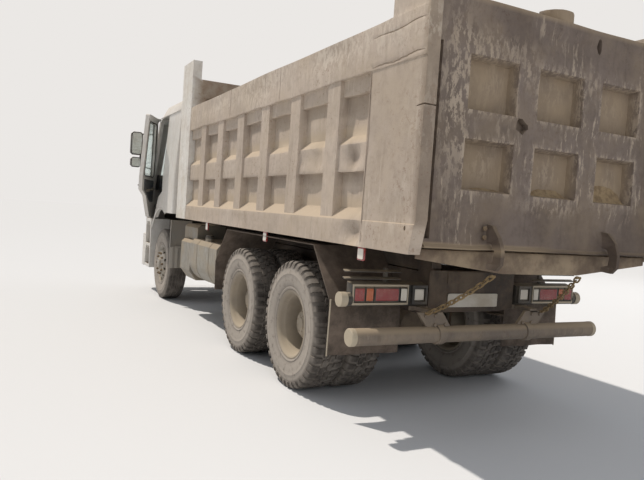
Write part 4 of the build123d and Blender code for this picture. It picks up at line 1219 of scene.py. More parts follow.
@dataclass
class Wheel:
    """A tubeless tyre on a pressed rim with its nuts. The disc stands on the side that `disc` names."""

    middle: Vector
    side: float
    disc: float
    bulging: bool = False
    tread: Tread = Tread()
    segments: int = 96
    nuts: int = 10
    nut_circle: float = 0.1675
    holes: int = 10
    # half the casing's section, columns: radius, distance from the middle
    casing: tuple[tuple[float, float], ...] = (
        (0.286, 0.112), (0.298, 0.125), (0.310, 0.1340), (0.318, 0.1400), (0.326, 0.1405), (0.332, 0.1360),
        (0.338, 0.1385), (0.370, 0.1460), (0.410, 0.1505), (0.436, 0.1515), (0.440, 0.1538), (0.448, 0.1538),
        (0.452, 0.1515), (0.480, 0.1505), (0.505, 0.1470), (0.525, 0.1385), (0.538, 0.1250), (0.545, 0.1000),
        (0.5462, 0.0500),
    )
    # how many rows of the casing a steered wheel keeps, before its own section takes over
    sidewall_rows: int = 14
    # a steered wheel's section from the upper sidewall on, with four straight grooves between its ribs
    ribbed: tuple[tuple[float, float], ...] = (
        (0.505, 0.1470), (0.528, 0.1405), (0.546, 0.1320), (0.556, 0.1200), (0.5590, 0.1050),
        (0.5600, 0.0770), (0.5490, 0.0745), (0.5490, 0.0655), (0.5610, 0.0630), (0.5617, 0.0250),
        (0.5500, 0.0225), (0.5500, 0.0135), (0.5620, 0.0110),
    )
    # the rim's face from its flange inwards, then its hidden back, columns: radius, distance from the middle
    bowl: tuple[tuple[float, float], ...] = (
        (0.3030, 0.1240), (0.3035, 0.1300), (0.2985, 0.1335), (0.2900, 0.1325), (0.2830, 0.1270),
        (0.2750, 0.1190), (0.2680, 0.1050), (0.2640, 0.0780), (0.2570, 0.0700), (0.2530, 0.0620),
        (0.2500, 0.0000), (0.2470, -0.0600), (0.2420, -0.1150), (0.2330, -0.1420), (0.2180, -0.1570),
        (0.2030, -0.1630), (0.1450, -0.1640), (0.1120, -0.1620), (0.1120, -0.1700), (0.1500, -0.1715),
        (0.2080, -0.1710), (0.2260, -0.1640), (0.2420, -0.1460), (0.2560, -0.0600), (0.2620, 0.0600),
        (0.2740, 0.0850), (0.2780, 0.1160), (0.2900, 0.1220),
    )
    # a steered wheel's rim, whose disc bulges outboard, columns as above
    bulge: tuple[tuple[float, float], ...] = (
        (0.3030, 0.1240), (0.3035, 0.1300), (0.2985, 0.1335), (0.2900, 0.1325), (0.2830, 0.1270),
        (0.2750, 0.1190), (0.2670, 0.1040), (0.2580, 0.0980), (0.2470, 0.1020), (0.2380, 0.1150),
        (0.2280, 0.1360), (0.2120, 0.1480), (0.1930, 0.1520), (0.1450, 0.1530), (0.1080, 0.1500),
        (0.1080, 0.1400), (0.1500, 0.1430), (0.1930, 0.1420), (0.2160, 0.1320), (0.2360, 0.0900),
        (0.2420, 0.0200), (0.2500, -0.0700), (0.2640, -0.0850), (0.2720, -0.1150), (0.2850, -0.1300),
        (0.2950, -0.1335), (0.3035, -0.1290), (0.2950, -0.1220), (0.2780, -0.1100), (0.2740, 0.0000),
        (0.2780, 0.1120), (0.2900, 0.1220),
    )

    def tyre(self, shape: Shape) -> None:
        """Add the casing, a closed section turned about the axle, and its tread."""
        sidewall = self.casing[:self.sidewall_rows]
        half = np.array(sidewall + self.ribbed if self.bulging else self.casing)
        section = np.concatenate([half, half[::-1] * (1, -1)])
        shape.add(*turned(section, self.middle, self.segments))
        for side in () if self.bulging else (1.0, -1.0):
            for points, faces in (self.tread.lugs(side), self.tread.blocks(side)):
                shape.add(points + np.array(self.middle), faces)

    def place(self, out: float) -> Vector:
        """A point on the axle that far outboard of the middle."""
        return self.middle + Vector((0, self.side * out, 0))

    def flip(self, profile: Points) -> Points:
        """A section whose distances run outboard, turned to run along Y, for the side the disc is on."""
        return np.asarray(profile, float) * (1, self.side * self.disc)

    def rim(self, shape: Shape) -> None:
        """Add the rim, turned about the axle."""
        profile = self.bulge if self.bulging else self.bowl
        shape.add(*turned(self.flip(profile), self.middle, 72))

    def windows(self, shape: Shape) -> None:
        """Add the cutters of the round hand holes, which go through both discs of a pair."""
        circle, radius = (0.223, 0.021) if self.bulging else (0.222, 0.019)
        low, high = (0.06, 0.20) if self.bulging else (-0.26, -0.10)
        for i in range(self.holes):
            a = 2 * math.pi * (i + 0.5) / self.holes
            hole = self.flip([(radius, low), (radius, high)])
            centre = self.middle + Vector((circle * math.cos(a), 0, circle * math.sin(a)))
            shape.add(*knob(hole, centre, 16))

    def studs(self, shape: Shape) -> None:
        """Add a hexagon nut with its washer and stud at each place on the nut circle."""
        face = 0.150 if self.bulging else -0.165
        section = [(0.0225, 0), (0.0225, 0.004), (0.0190, 0.005), (0.0190, 0.024), (0.0150, 0.027)]
        stud = [(0.0110, 0.020), (0.0110, 0.036), (0.0090, 0.038)]
        for i in range(self.nuts):
            a = 2 * math.pi * i / self.nuts
            centre = (
                self.place(face)
                + Vector((self.nut_circle * math.cos(a), 0, self.nut_circle * math.sin(a)))
            )
            for profile, sides in ((section, 6), (stud, 10)):
                shape.add(*knob(np.array(profile) * (1, self.side), centre, sides))


@dataclass
class Wheels:
    """Six wheel bodies: twins on the two rear axles and steered singles in front."""

    # the planetary hub of a driven wheel, columns: radius, distance outboard of the outer tyre's middle
    drive_hub: tuple[tuple[float, float], ...] = (
        (0.1150, -0.5000), (0.1150, -0.1560), (0.1280, -0.1480), (0.1310, -0.1400), (0.1310, -0.0420),
        (0.1400, -0.0380), (0.1420, -0.0340), (0.1420, -0.0160), (0.1390, -0.0120), (0.1160, -0.0100),
        (0.1120, 0.0080), (0.1050, 0.0180), (0.0900, 0.0240), (0.0560, 0.0270), (0.0520, 0.0340),
        (0.0100, 0.0360),
    )
    # the cap of a steered wheel's hub, columns: radius, distance outboard of the tyre's middle
    steer_hub: tuple[tuple[float, float], ...] = (
        (0.1080, 0.0200), (0.1080, 0.1500), (0.1040, 0.1560), (0.0900, 0.1590), (0.0860, 0.1640),
        (0.0850, 0.1830), (0.0800, 0.1900), (0.0740, 0.1925), (0.0500, 0.1955), (0.0100, 0.1980),
    )
    tyre_width: float = 0.308

    def hub(self, shape: Shape, wheel: Wheel) -> None:
        """Add a hub turned about the axle, with the bolts round its flange and cap."""
        profile = np.array(self.steer_hub if wheel.bulging else self.drive_hub)
        shape.add(*knob(profile * (1, wheel.side), wheel.middle, 48))
        rings = [(0.0700, 0.1900, 8, 0.014)] if wheel.bulging else [(0.1285, -0.0120, 18, 0.014),
            (0.0730, 0.0245, 8, 0.013)]
        for circle, out, count, across in rings:
            for i in range(count):
                a = 2 * math.pi * (i + 0.5) / count
                centre = wheel.place(out) + Vector((circle * math.cos(a), 0, circle * math.sin(a)))
                shape.add(*hex_head(centre, "Y", across, wheel.side * 0.008))

    def valve(self, shape: Shape, wheel: Wheel) -> None:
        """Add the bent metal valve that stands in the rim's bowl."""
        root = wheel.middle + Vector((0.236, wheel.side * -0.13, 0))
        path = [root + Vector((dx, wheel.side * dy, 0)) for dx,
            dy in ((0, 0), (-0.012, 0.02), (-0.016, 0.05), (-0.02, 0.10))]
        shape.add(*tube(np.array(path), 0.0045, 8))

    def dust_and_groove_shade(self, middle: Vector) -> dict[Mark, Field]:
        """Dust on a tyre's sidewall: full between the bead and the lugs, thin over the tread, and less in the
        groove near the bead, which paints it as a shaded line.
        """

        def share(points: Points) -> np.ndarray:
            """Dust share by radius from the axle."""
            r = np.hypot(points[:, 0] - middle.x, points[:, 2] - middle.z)
            # the dip at 0.333 m leaves the groove near the bead dark: painted shade in the groove
            wall = window(r, 0.315, 0.492, 0.022) - 0.5 * np.exp(-(((r - 0.333) / 0.006) ** 2))
            return 0.9 * wall + 0.35 * ease(r, 0.50, 0.53) * (1 - ease(r, 0.548, 0.556))

        return {Mark.DUST_AND_PAINTED_LIGHT: share}

    def bowl_dust(self, middle: Vector) -> dict[Mark, Field]:
        """Dust packed in the bowl: more where the wheel has stood with that part low."""

        def share(points: Points) -> np.ndarray:
            """Dust share by height under the axle, broken up by soft ripples."""
            low = ease(middle.z - points[:, 2], -0.25, 0.25)
            return 0.25 + 0.45 * low + 0.15 * ripple(points, 0.25, 4)

        return {Mark.DUST_AND_PAINTED_LIGHT: share}

    def body(self, axle: str, name: str) -> None:
        """Build one wheel body's tyre piece, rim piece and nuts."""
        side = SIDES[name]
        plural = "" if axle == "front" else "s"
        tyres, rims = f"tyre{plural}_{axle}_{name}", f"rim{plural}_{axle}_{name}"
        low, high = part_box(tyres)
        outer = (high[1] if side > 0 else low[1]) - side * self.tyre_width / 2
        inner = (low[1] if side > 0 else high[1]) + side * self.tyre_width / 2
        middle = centre_of(tyres)
        if axle == "front":
            wheels = [Wheel(Vector((middle.x, outer, middle.z)), side, 1.0, bulging=True)]
        else:
            wheels = [Wheel(Vector((middle.x, outer, middle.z)), side, 1.0),
                      Wheel(Vector((middle.x, inner, middle.z)), side, -1.0)]
        rubber, steel, cutters, nuts = Shape(), Shape(), Shape(), Shape()
        for wheel in wheels:
            wheel.tyre(rubber)
            wheel.rim(steel)
        wheels[0].windows(cutters)
        wheels[0].studs(nuts)
        hub = Shape()
        self.hub(hub, wheels[0])
        if axle != "front":
            self.valve(nuts, wheels[0])
        tyre = rubber.piece(f"{tyres}_rubber", 32)
        mark(tyre, self.dust_and_groove_shade(middle))
        rim = steel.piece(f"{rims}_pressing", 34)
        carve(rim, cutters)
        mark(rim, self.bowl_dust(middle))
        shade(rim, 34)
        hubs = hub.piece(f"{rims}_hub", 34)
        mark(hubs, self.bowl_dust(middle))
        group = body_of(tyres)
        steel_finish = STEER_RIM_PAINT if axle == "front" else RIM_PAINT
        seat(tyre, group, TYRE_RUBBER)
        seat(rim, group, steel_finish)
        seat(hubs, group, steel_finish)
        seat(nuts.piece(f"{rims}_nuts", 30), group, NUT_STEEL)
        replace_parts(tyre, tyres)
        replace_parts(rim, rims)
        LOG.info("built wheel %s %s", axle, name)

    def build(self) -> None:
        """Build all six."""
        for axle in ("front", "mid", "rear"):
            for name in SIDES:
                self.body(axle, name)


# Rear end


@dataclass
class Chains:
    """Slack welded chains from the frame's brackets to the apron under the gate."""

    start: tuple[float, float, float] = (-3.528, 0.592, 0.862)
    end: tuple[float, float, float] = (-4.000, 0.425, 1.200)
    sag: float = 0.022
    links: int = 14
    wire: float = 0.0065
    half_width: float = 0.0165

    def line(self, side: float) -> Points:
        """The joints between links: a straight run with a parabola's sag, 4 sag t (1 - t) below it."""
        t = np.linspace(0, 1, self.links + 1)[:, None]
        a, b = np.array(self.start) * (1, side, 1), np.array(self.end) * (1, side, 1)
        return a + (b - a) * t - np.array([0, 0, 1]) * self.sag * 4 * t * (1 - t)

    def link(self, a: Points, b: Points, turn_deg: float) -> tuple[Points, Faces]:
        """One oval link from joint to joint, its straight sides joined by half circles, turned about its
        length."""
        along = b - a
        reach = np.linalg.norm(along) / 2 + self.wire - self.half_width
        along /= np.linalg.norm(along)
        level = np.cross(along, (0, 0, 1))
        level /= np.linalg.norm(level)
        steep = np.cross(level, along)
        turn = math.radians(turn_deg)
        across = math.cos(turn) * level + math.sin(turn) * steep
        a8 = np.linspace(-np.pi / 2, np.pi / 2, 8)
        bend = np.stack([reach + self.half_width * np.cos(a8), self.half_width * np.sin(a8)], axis=1)
        oval = np.concatenate([bend, -bend])
        path = (a + b) / 2 + oval[:, :1] * along + oval[:, 1:] * across
        return self.ring(path, np.cross(along, across))

    def ring(self, path: Points, out: Points) -> tuple[Points, Faces]:
        """Carry the wire's circle round a flat closed path, square to it."""
        along = np.roll(path, -1, axis=0) - np.roll(path, 1, axis=0)
        along /= np.linalg.norm(along, axis=1, keepdims=True)
        right = np.cross(along, out)
        a = np.linspace(0, 2 * np.pi, 8, endpoint=False)[None, :, None]
        points = path[:, None] + self.wire * (np.cos(a) * right[:, None] + np.sin(a) * out)
        return points.reshape(-1, 3), grid_faces(len(path), 8, True, True)

    def build(self) -> None:
        """Build one chain each side, with a shackle at its ends."""
        pieces = []
        for name, side in SIDES.items():
            joints = self.line(side)
            shape = Shape()
            for i in range(self.links):
                shape.add(*self.link(joints[i].copy(), joints[i + 1].copy(), 42 if i % 2 else -48))
            for joint in (joints[0], joints[-1]):
                shape.add(*tube(joint + np.array([(0, -0.024, 0), (0, 0.024, 0)]), 0.009, 12))
            thing = shape.piece(f"chain_{name}", 50)
            thing.data.materials.append(CHAIN_STEEL.material())
            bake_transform(thing)
            pieces.append(thing)
        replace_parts(pieces[0], "tailgate_chains")
        LOG.info("built chains")


def plate_between(near: Points, far: Points) -> tuple[Points, Faces]:
    """Close two grids of points that face each other into one shell.

    Args:
        near: One face's grid, rows by columns by 3.
        far: The other face's grid, of the same size.

    Returns:
        The points and the faces.
    """
    rows, columns = near.shape[:2]
    count = rows * columns
    faces = grid_faces(rows, columns).tolist()
    faces += (grid_faces(rows, columns)[:, ::-1] + count).tolist()
    index = np.arange(count).reshape(rows, columns)
    edge = np.concatenate([index[0, :], index[1:, -1], index[-1, -2::-1], index[-2:0:-1, 0]])
    after = np.roll(edge, -1)
    faces += np.stack([after, edge, edge + count, after + count], axis=1).tolist()
    return np.concatenate([near.reshape(-1, 3), far.reshape(-1, 3)]), faces


def framed(outer: Sequence[float], inner: Sequence[float], x_back: float, x_front: float) -> tuple[Points,
        Faces]:
    """A flat rectangular frame square to X.

    Args:
        outer: Its outside as low y, high y, low z, high z.
        inner: Its opening in the same order.
        x_back: One face.
        x_front: The other.

    Returns:
        The points and the faces.
    """
    rings = []
    for (y0, y1, z0, z1), x in ((outer, x_back), (outer, x_front), (inner, x_front), (inner, x_back)):
        rings.append([(x, y0, z0), (x, y1, z0), (x, y1, z1), (x, y0, z1)])
    return np.array(rings).reshape(-1, 3), grid_faces(4, 4, True, True)


@dataclass
class TailLamps:
    """Lamp boxes: ribbed lenses in a row, a pale surround, slats above and a capped stub outboard."""

    face_x: float = -3.336
    lens_out: float = 0.0125
    rib_pitch: float = 0.0075
    # columns: outboard y, inboard y, lens
    lenses: tuple[tuple[float, float, LampLens], ...] = (
        (1.135, 1.042, RED_LENS), (1.034, 0.966, AMBER_LENS), (0.958, 0.732, RED_LENS),
        (0.724, 0.664, CLEAR_LENS),
    )

    def lens(self, y0: float, y1: float, z0: float, z1: float) -> tuple[Points, Faces]:
        """A lens whose face is crowned at its edges and ribbed: x = crown - 0.0009 cos(2 pi y / pitch)."""
        rows = max(12, int(abs(y1 - y0) / self.rib_pitch * 6))
        v, u = np.meshgrid(np.linspace(0, 1, 9), np.linspace(0, 1, rows), indexing="ij")
        y, z = y0 + (y1 - y0) * u, z0 + (z1 - z0) * v
        crown = self.lens_out * (1 - (2 * u - 1) ** 12) * (1 - (2 * v - 1) ** 8) ** 0.5
        crown += 0.0009 * np.cos(2 * np.pi * y / self.rib_pitch) * (crown > 0.6 * self.lens_out)
        near = np.stack([self.face_x - crown, y, z], axis=-1)
        far = np.stack([np.full_like(y, self.face_x + 0.004), y, z], axis=-1)
        return plate_between(near, far)

    def build(self) -> None:
        """Dress the boxes and stand the lenses, surrounds and caps on them."""
        dressed("tail_lamps", BLACK_PLASTIC, 0.002)
        by_finish: dict[str, tuple[LampLens, Shape]] = {}
        surround, box, caps, square = Shape(), Shape(), Shape(), Shape()
        for side in SIDES.values():
            for outboard, inboard, finish in self.lenses:
                shape = by_finish.setdefault(finish.name, (finish, Shape()))[1]
                shape.add(*self.lens(side * inboard, side * outboard, 0.917, 1.033))
            low, high = sorted((side * 0.652, side * 1.148))
            inner_low, inner_high = sorted((side * 0.661, side * 1.138))
            outer = (low, high, 0.897, 1.053)
            inner = (inner_low, inner_high, 0.913, 1.037)
            surround.add(*framed(outer, inner, self.face_x + 0.006, self.face_x - 0.010))
            low, high = sorted((side * 0.480, side * 0.622))
            inner_low, inner_high = sorted((side * 0.500, side * 0.602))
            outer, inner = (low, high, 0.900, 1.050), (inner_low, inner_high, 0.922, 1.028)
            box.add(*framed(outer, inner, self.face_x + 0.006, self.face_x - 0.024))
            square.add(*self.lens(inner_low, inner_high, 0.922, 1.028))
            centre = (-3.300, side * 1.236, 0.936)
            cap = [(0.050, -0.05), (0.0555, -0.05), (0.0555, 0.0035), (0.0530, 0.0060), (0.0400, 0.0065),
                (0.002, 0.0065)]
            caps.add(*knob(np.array(cap) * (1, side), centre, 32))
        group, slot = body_of("tail_lamps"), SLOT_OF["tail_lamps"]
        for name, (finish, shape) in by_finish.items():
            seat(shape.piece(f"lenses_{name}", 25), group, finish)
        seat(square.piece("lenses_square", 25), group, CLEAR_LENS)
        seat(surround.piece("lamp_surrounds", 30, 0.002), group, PALE_PLASTIC)
        seat(box.piece("square_lamp_boxes", 30, 0.002), group, BLACK_PLASTIC)
        seat(caps.piece("stub_caps", 30), group, PALE_PLASTIC)


@dataclass
class UnderrunBar:
    """Round tube across the rear with pale end caps, collars, sloping straps and their bolts."""

    x: float = -3.486
    z: float = 0.690
    radius: float = 0.064
    half: float = 1.245

    def build(self) -> None:
        """Build the tube turned about Y, and the straps as outlines carried along X."""
        steel, caps, centre = Shape(), Shape(), (self.x, 0, self.z)
        tube_end = self.half - 0.012
        section = [(self.radius - 0.002, -tube_end), (self.radius, -tube_end + 0.003),
            (self.radius, tube_end - 0.003)]
        section += [(self.radius - 0.002, tube_end)]
        steel.add(*knob(section, centre, 40))
        for side in SIDES.values():
            collar = [(0.0635, 0.418), (0.0760, 0.420), (0.0770, 0.424), (0.0770, 0.476), (0.0760, 0.480),
                (0.0635, 0.482)]
            steel.add(*turned(np.array(collar) * (1, side), centre, 40))
            cap = [(0.0655, tube_end - 0.03), (0.0660, tube_end + 0.004), (0.0600, self.half),
                (0.0100, self.half)]
            caps.add(*knob(np.array(cap) * (1, side), centre, 40))
            strap = [(0.330, 0.730), (0.560, 0.730), (0.660, 0.862), (0.430, 0.862)]
            steel.add(*prism([(side * y, z) for y, z in strap], "X", self.x - 0.014, self.x + 0.016))
            low, high = sorted((side * 0.480, side * 0.560))
            steel.add(*box_shape((-3.500, low, 0.850), (-3.324, high, 0.880)))
            low, high = sorted((side * 0.445, side * 0.620))
            steel.add(*box_shape((-3.324, low, 0.850), (-3.312, high, 0.880)))
            for y, z in ((0.400, 0.765), (0.500, 0.765), (0.500, 0.835), (0.590, 0.835)):
                steel.add(*hex_head((self.x - 0.014, side * y, z), "X", 0.026, -0.012))
        bar_piece = steel.piece("underrun_steel", 30, 0.0015)
        seat(bar_piece, "chassis", BAR_PAINT)
        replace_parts(bar_piece, "underrun_bar")
        seat(caps.piece("underrun_caps", 30), "chassis", PALE_PLASTIC)


@dataclass
class Mudguards:
    """Faceted plates over the tandem, wavy flaps with pale hems, and blank marker plates."""

    wave: float = 0.010

    def bend(self, points: Points) -> Points:
        """Let the hanging flap wave: x moves by a sine of y that grows below the sheet."""
        low = ease(0.90 - points[:, 2], 0.0, 0.40) * (points[:, 0] < -3.0)
        moved = points.copy()
        moved[:, 0] += self.wave * low * np.sin(points[:, 1] * 17.0)
        return moved

    def build(self) -> None:
        """Dress the guards, and run a pale hem down each flap's outer edge."""
        dressed("bogie_mudguards", FLAP_RUBBER, 0.002, (0.25, 0.05, 0.08), self.bend)
        hems, clips = Shape(), Shape()
        for side in SIDES.values():
            z = np.linspace(0.462, 0.905, 12)
            path = np.stack([np.full(12, -3.112), np.full(12, side * 1.203), z], axis=1)
            hems.add(*tube(self.bend(path), 0.0065, 10))
            for y in (0.640, 0.860, 1.080):
                clips.add(*hex_head((-3.118, side * y, 0.868), "X", 0.024, -0.010))
        seat(hems.piece("flap_hems", 40), "chassis", PALE_PLASTIC)
        seat(clips.piece("flap_bolts", 30), "chassis", NUT_STEEL)


# Tipping body


@dataclass(frozen=True)
class Dent:
    """A soft knock in sheet metal: its middle in the sheet's two directions, its half sizes and how deep
    it goes."""

    along: float
    up: float
    wide: float
    tall: float
    deep: float

    def depth(self, along: np.ndarray, up: np.ndarray) -> np.ndarray:
        """Depth at each place: deep times exp(-(d to the 3)), a flatter floor and steeper rim than a bell."""
        away = ((along - self.along) / self.wide) ** 2 + ((up - self.up) / self.tall) ** 2
        return self.deep * np.exp(-(away**1.5))


@dataclass
class BedSides:
    """Both ribbed sides: pillowed panels between the ribs, dents, a wavy step edge, drifts of soil partly
    painted as sunlight, painted shade under the rails and on the rear edge, and a torn seam."""

    face_y: float = 1.220
    rib_first: float = -2.945
    rib_pitch: float = 0.716
    pillow: float = 0.011
    dents: tuple[Dent, ...] = (
        Dent(-3.270, 2.300, 0.15, 0.11, 0.030), Dent(-3.265, 1.985, 0.10, 0.095, 0.050),
        Dent(-3.310, 1.745, 0.14, 0.10, 0.020), Dent(-2.680, 2.020, 0.09, 0.120, 0.036),
        Dent(-2.560, 1.750, 0.17, 0.11, 0.018), Dent(-2.450, 2.000, 0.10, 0.07, 0.018),
        Dent(-1.880, 2.290, 0.18, 0.12, 0.016), Dent(-1.150, 1.760, 0.18, 0.10, 0.015),
        Dent(-0.430, 2.300, 0.17, 0.12, 0.014), Dent(-3.700, 2.050, 0.16, 0.30, 0.012),
        Dent(-3.900, 1.560, 0.18, 0.16, 0.012), Dent(-2.900, 2.780, 0.35, 0.07, 0.012),
        Dent(-1.400, 2.720, 0.45, 0.08, 0.010), Dent(0.300, 2.760, 0.40, 0.07, 0.010),
        Dent(-3.385, 1.440, 0.11, 0.095, 0.052), Dent(-0.900, 1.420, 0.30, 0.05, 0.010),
        Dent(-2.230, 2.140, 0.07, 0.16, 0.014), Dent(-2.945, 2.250, 0.06, 0.12, 0.016),
    )

    def panel(self, points: Points) -> np.ndarray:
        """How far into a recessed panel a place is: 0 on ribs and rails, 1 in a panel's middle."""
        x, z = points[:, 0], points[:, 2]
        phase = np.abs((x - self.rib_first) / self.rib_pitch % 1.0 - 0.5) * self.rib_pitch
        across = 1 - ease(phase, 0.10, 0.25)
        upper = window(z, 2.27, 2.33, 0.11)
        lower = window(z, 1.71, 1.79, 0.09)
        return across * np.maximum(upper, lower) * (x > -3.50) * (x < 1.25)

    def bend(self, points: Points) -> Points:
        """Dents go in along Y, panels bulge out, and the step's lower edge waves along Z."""
        x, y, z = points.T
        side = np.sign(y)
        inward = sum(dent.depth(x, z) for dent in self.dents)
        inward = inward + 0.0035 * ripple(points * (1, 0, 1), 0.9, 11) - self.pillow * self.panel(points)
        inward = inward * window(x, -4.05, 1.15, 0.10) * window(z, 1.40, 2.83, 0.05)
        outer = ease(np.abs(y), 1.120, 1.135)
        moved = points.copy()
        moved[:, 1] -= side * inward * (0.35 + 0.65 * outer)
        moved[:, 2] += 0.008 * ripple(points * (1, 0, 0), 0.55, 5) * window(z, 2.42, 2.58, 0.03) * window(x,
            -3.40, 1.10, 0.15)
        moved[:, 2] += 0.006 * ripple(points * (1, 0, 0), 0.8, 6) * window(z, 2.84, 2.90, 0.04) * window(x,
            -3.6, 1.1, 0.2)
        return moved

    def soil(self, points: Points) -> np.ndarray:
        """Painted shade in a band under each rail and all over the rear edge, and grime in the knocked
        ledge's fold."""
        x, z = points[:, 0], points[:, 2]
        # painted shadow: a band at the top of each panel, under the rail above it
        under = window(z, 2.36, 2.43, 0.05) + window(z, 1.83, 1.87, 0.04)
        fold = bell(points * (1, 0, 1), (-3.225, 0, 1.985), (0.035, 1, 0.09))
        # the rear edge's full share is painted shade; the fold's share is grime
        return 0.5 * under * self.panel_edge(points) + 0.9 * (1 - ease(x, -4.149, -4.128)) + 0.8 * fold

    def panel_edge(self, points: Points) -> np.ndarray:
        """1 between the ribs, on the skin itself."""
        recessed = 1 - ease(np.abs(points[:, 1]), 1.150, 1.175)
        return recessed * (points[:, 0] > -3.50)

    def soil_and_painted_sunlight(self, points: Points) -> np.ndarray:
        """Pale soil on the ledges and the panels' lower parts, which also paints the sunlight low in each
        bay.
        """
        z = points[:, 2]
        # pale band just above each ledge: soil, and also painted sunlight at the bottom of each bay
        low = window(z, 2.10, 2.20, 0.06) + window(z, 1.57, 1.66, 0.06)
        return 0.8 * low * self.panel_edge(points) + 0.15 * ripple(points, 0.6, 21)

    def scraped(self, points: Points) -> np.ndarray:
        """Bare streaks along the top rail and the outer faces of rails and ribs."""
        top = window(points[:, 2], 2.70, 2.88, 0.06)
        return np.clip(0.55 * top + 0.35 * ripple(points, 1.1, 31), 0, 0.8)

    def tears(self, side: float) -> Shape:
        """Cutters of the cracked seam at the top of the rear panel and of two small holes."""
        low, high = 1.10 * side, 1.26 * side
        low, high = min(low, high), max(low, high)
        shape = Shape()
        t = np.linspace(0, 1, 34)
        rng = np.random.default_rng(9)
        for level, widest in ((2.598, 0.0085), (2.800, 0.0060)):
            seam_x = -4.135 + 0.62 * t
            seam_z = level + 0.006 * np.sin(9 * t) - 0.02 * t
            gape = widest * np.sin(np.pi * t) ** 0.6 * rng.uniform(0.25, 1.0, (2, 34)) + 0.0006
            upper, lower = np.stack([seam_x, seam_z + gape[0]], 1), np.stack([seam_x, seam_z - gape[1]], 1)
            deep = sorted((side * 1.212, side * 1.26))
            shape.add(*prism(np.concatenate([upper, lower[::-1]]), "Y", *deep))
        crack = [(-4.16, 2.272), (-4.10, 2.268), (-4.06, 2.258), (-4.10, 2.258), (-4.16, 2.262)]
        shape.add(*prism(crack, "Y", low, high))
        a = np.linspace(0, 2 * np.pi, 9, endpoint=False)
        hole = np.stack([-4.04 + 0.013 * np.cos(a), 1.50 + 0.017 * np.sin(a)], 1)
        shape.add(*prism(hole, "Y", low, high))
        return shape

    def build(self) -> None:
        """Dress both sides, and weld a bead up the joints between their plates."""
        beads = Shape()
        for name, side in SIDES.items():
            # the grime mark paints shade under the rails and on the rear edge; the dust mark paints sunlight
            # above the ledges
            marks = {Mark.GRIME_AND_SHADE: self.soil, Mark.DUST_AND_PAINTED_LIGHT: self.soil_and_painted_sunlight, Mark.SCRAPED: self.scraped}
            cutters = self.tears(side)
            dressed(f"bed_side_{name}", BED_PAINT, 0.005, (0.062, 0, 0.048), self.bend, marks, cutters, 38)
            z = np.linspace(1.36, 2.59, 60)
            face = side * (self.face_y - 0.0035)
            wobble = 0.0012 * np.sin(z * 260)
            beads.add(*tube(np.stack([np.full(60, -3.506) + wobble, np.full(60, face), z], 1), 0.0035, 6))
            for x in (-0.43, -1.86):
                z = np.linspace(2.58, 2.87, 24)
                path = np.stack([x + 0.0012 * np.sin(z * 260), np.full(24, side * (self.face_y + 0.0004)),
                    z], 1)
                beads.add(*tube(self.bend(path), 0.0035, 6))
        seat(beads.piece("side_weld_beads", 60), "bed", BED_PAINT)


@dataclass
class SideMarkers:
    """Blank square markers on brackets below the body's sides, pale with a reddish rim."""

    places: tuple[float, ...] = (-1.660, -3.495, 0.300)
    size: float = 0.095
    z: float = 1.290

    def build(self) -> None:
        """Stand a rimmed plate and its bracket at each place on both sides."""
        rims, plates, brackets = Shape(), Shape(), Shape()
        h = self.size / 2
        for side in SIDES.values():
            for x in self.places:
                face = side * 1.196
                square = rounded([(x - h, self.z - h), (x + h, self.z - h), (x + h, self.z + h),
                    (x - h, self.z + h)], 4, 0.15)
                inset = (square - (x, self.z)) * 0.78 + (x, self.z)
                rims.add(*prism(square, "Y", *sorted((face - side * 0.012, face))))
                plates.add(*prism(inset, "Y", *sorted((face - side * 0.004, face + side * 0.004))))
                low, high = sorted((face - side * 0.016, face - side * 0.011))
                brackets.add(*box_shape((x - 0.03, low, self.z - 0.02), (x + 0.03, high, 1.345)))
        seat(rims.piece("marker_rims", 30, 0.0015), "bed", RED_LENS)
        seat(plates.piece("marker_plates", 30, 0.001), "bed", CLEAR_LENS)
        seat(brackets.piece("marker_brackets", 30, 0.001), "bed", FRAME_PAINT)


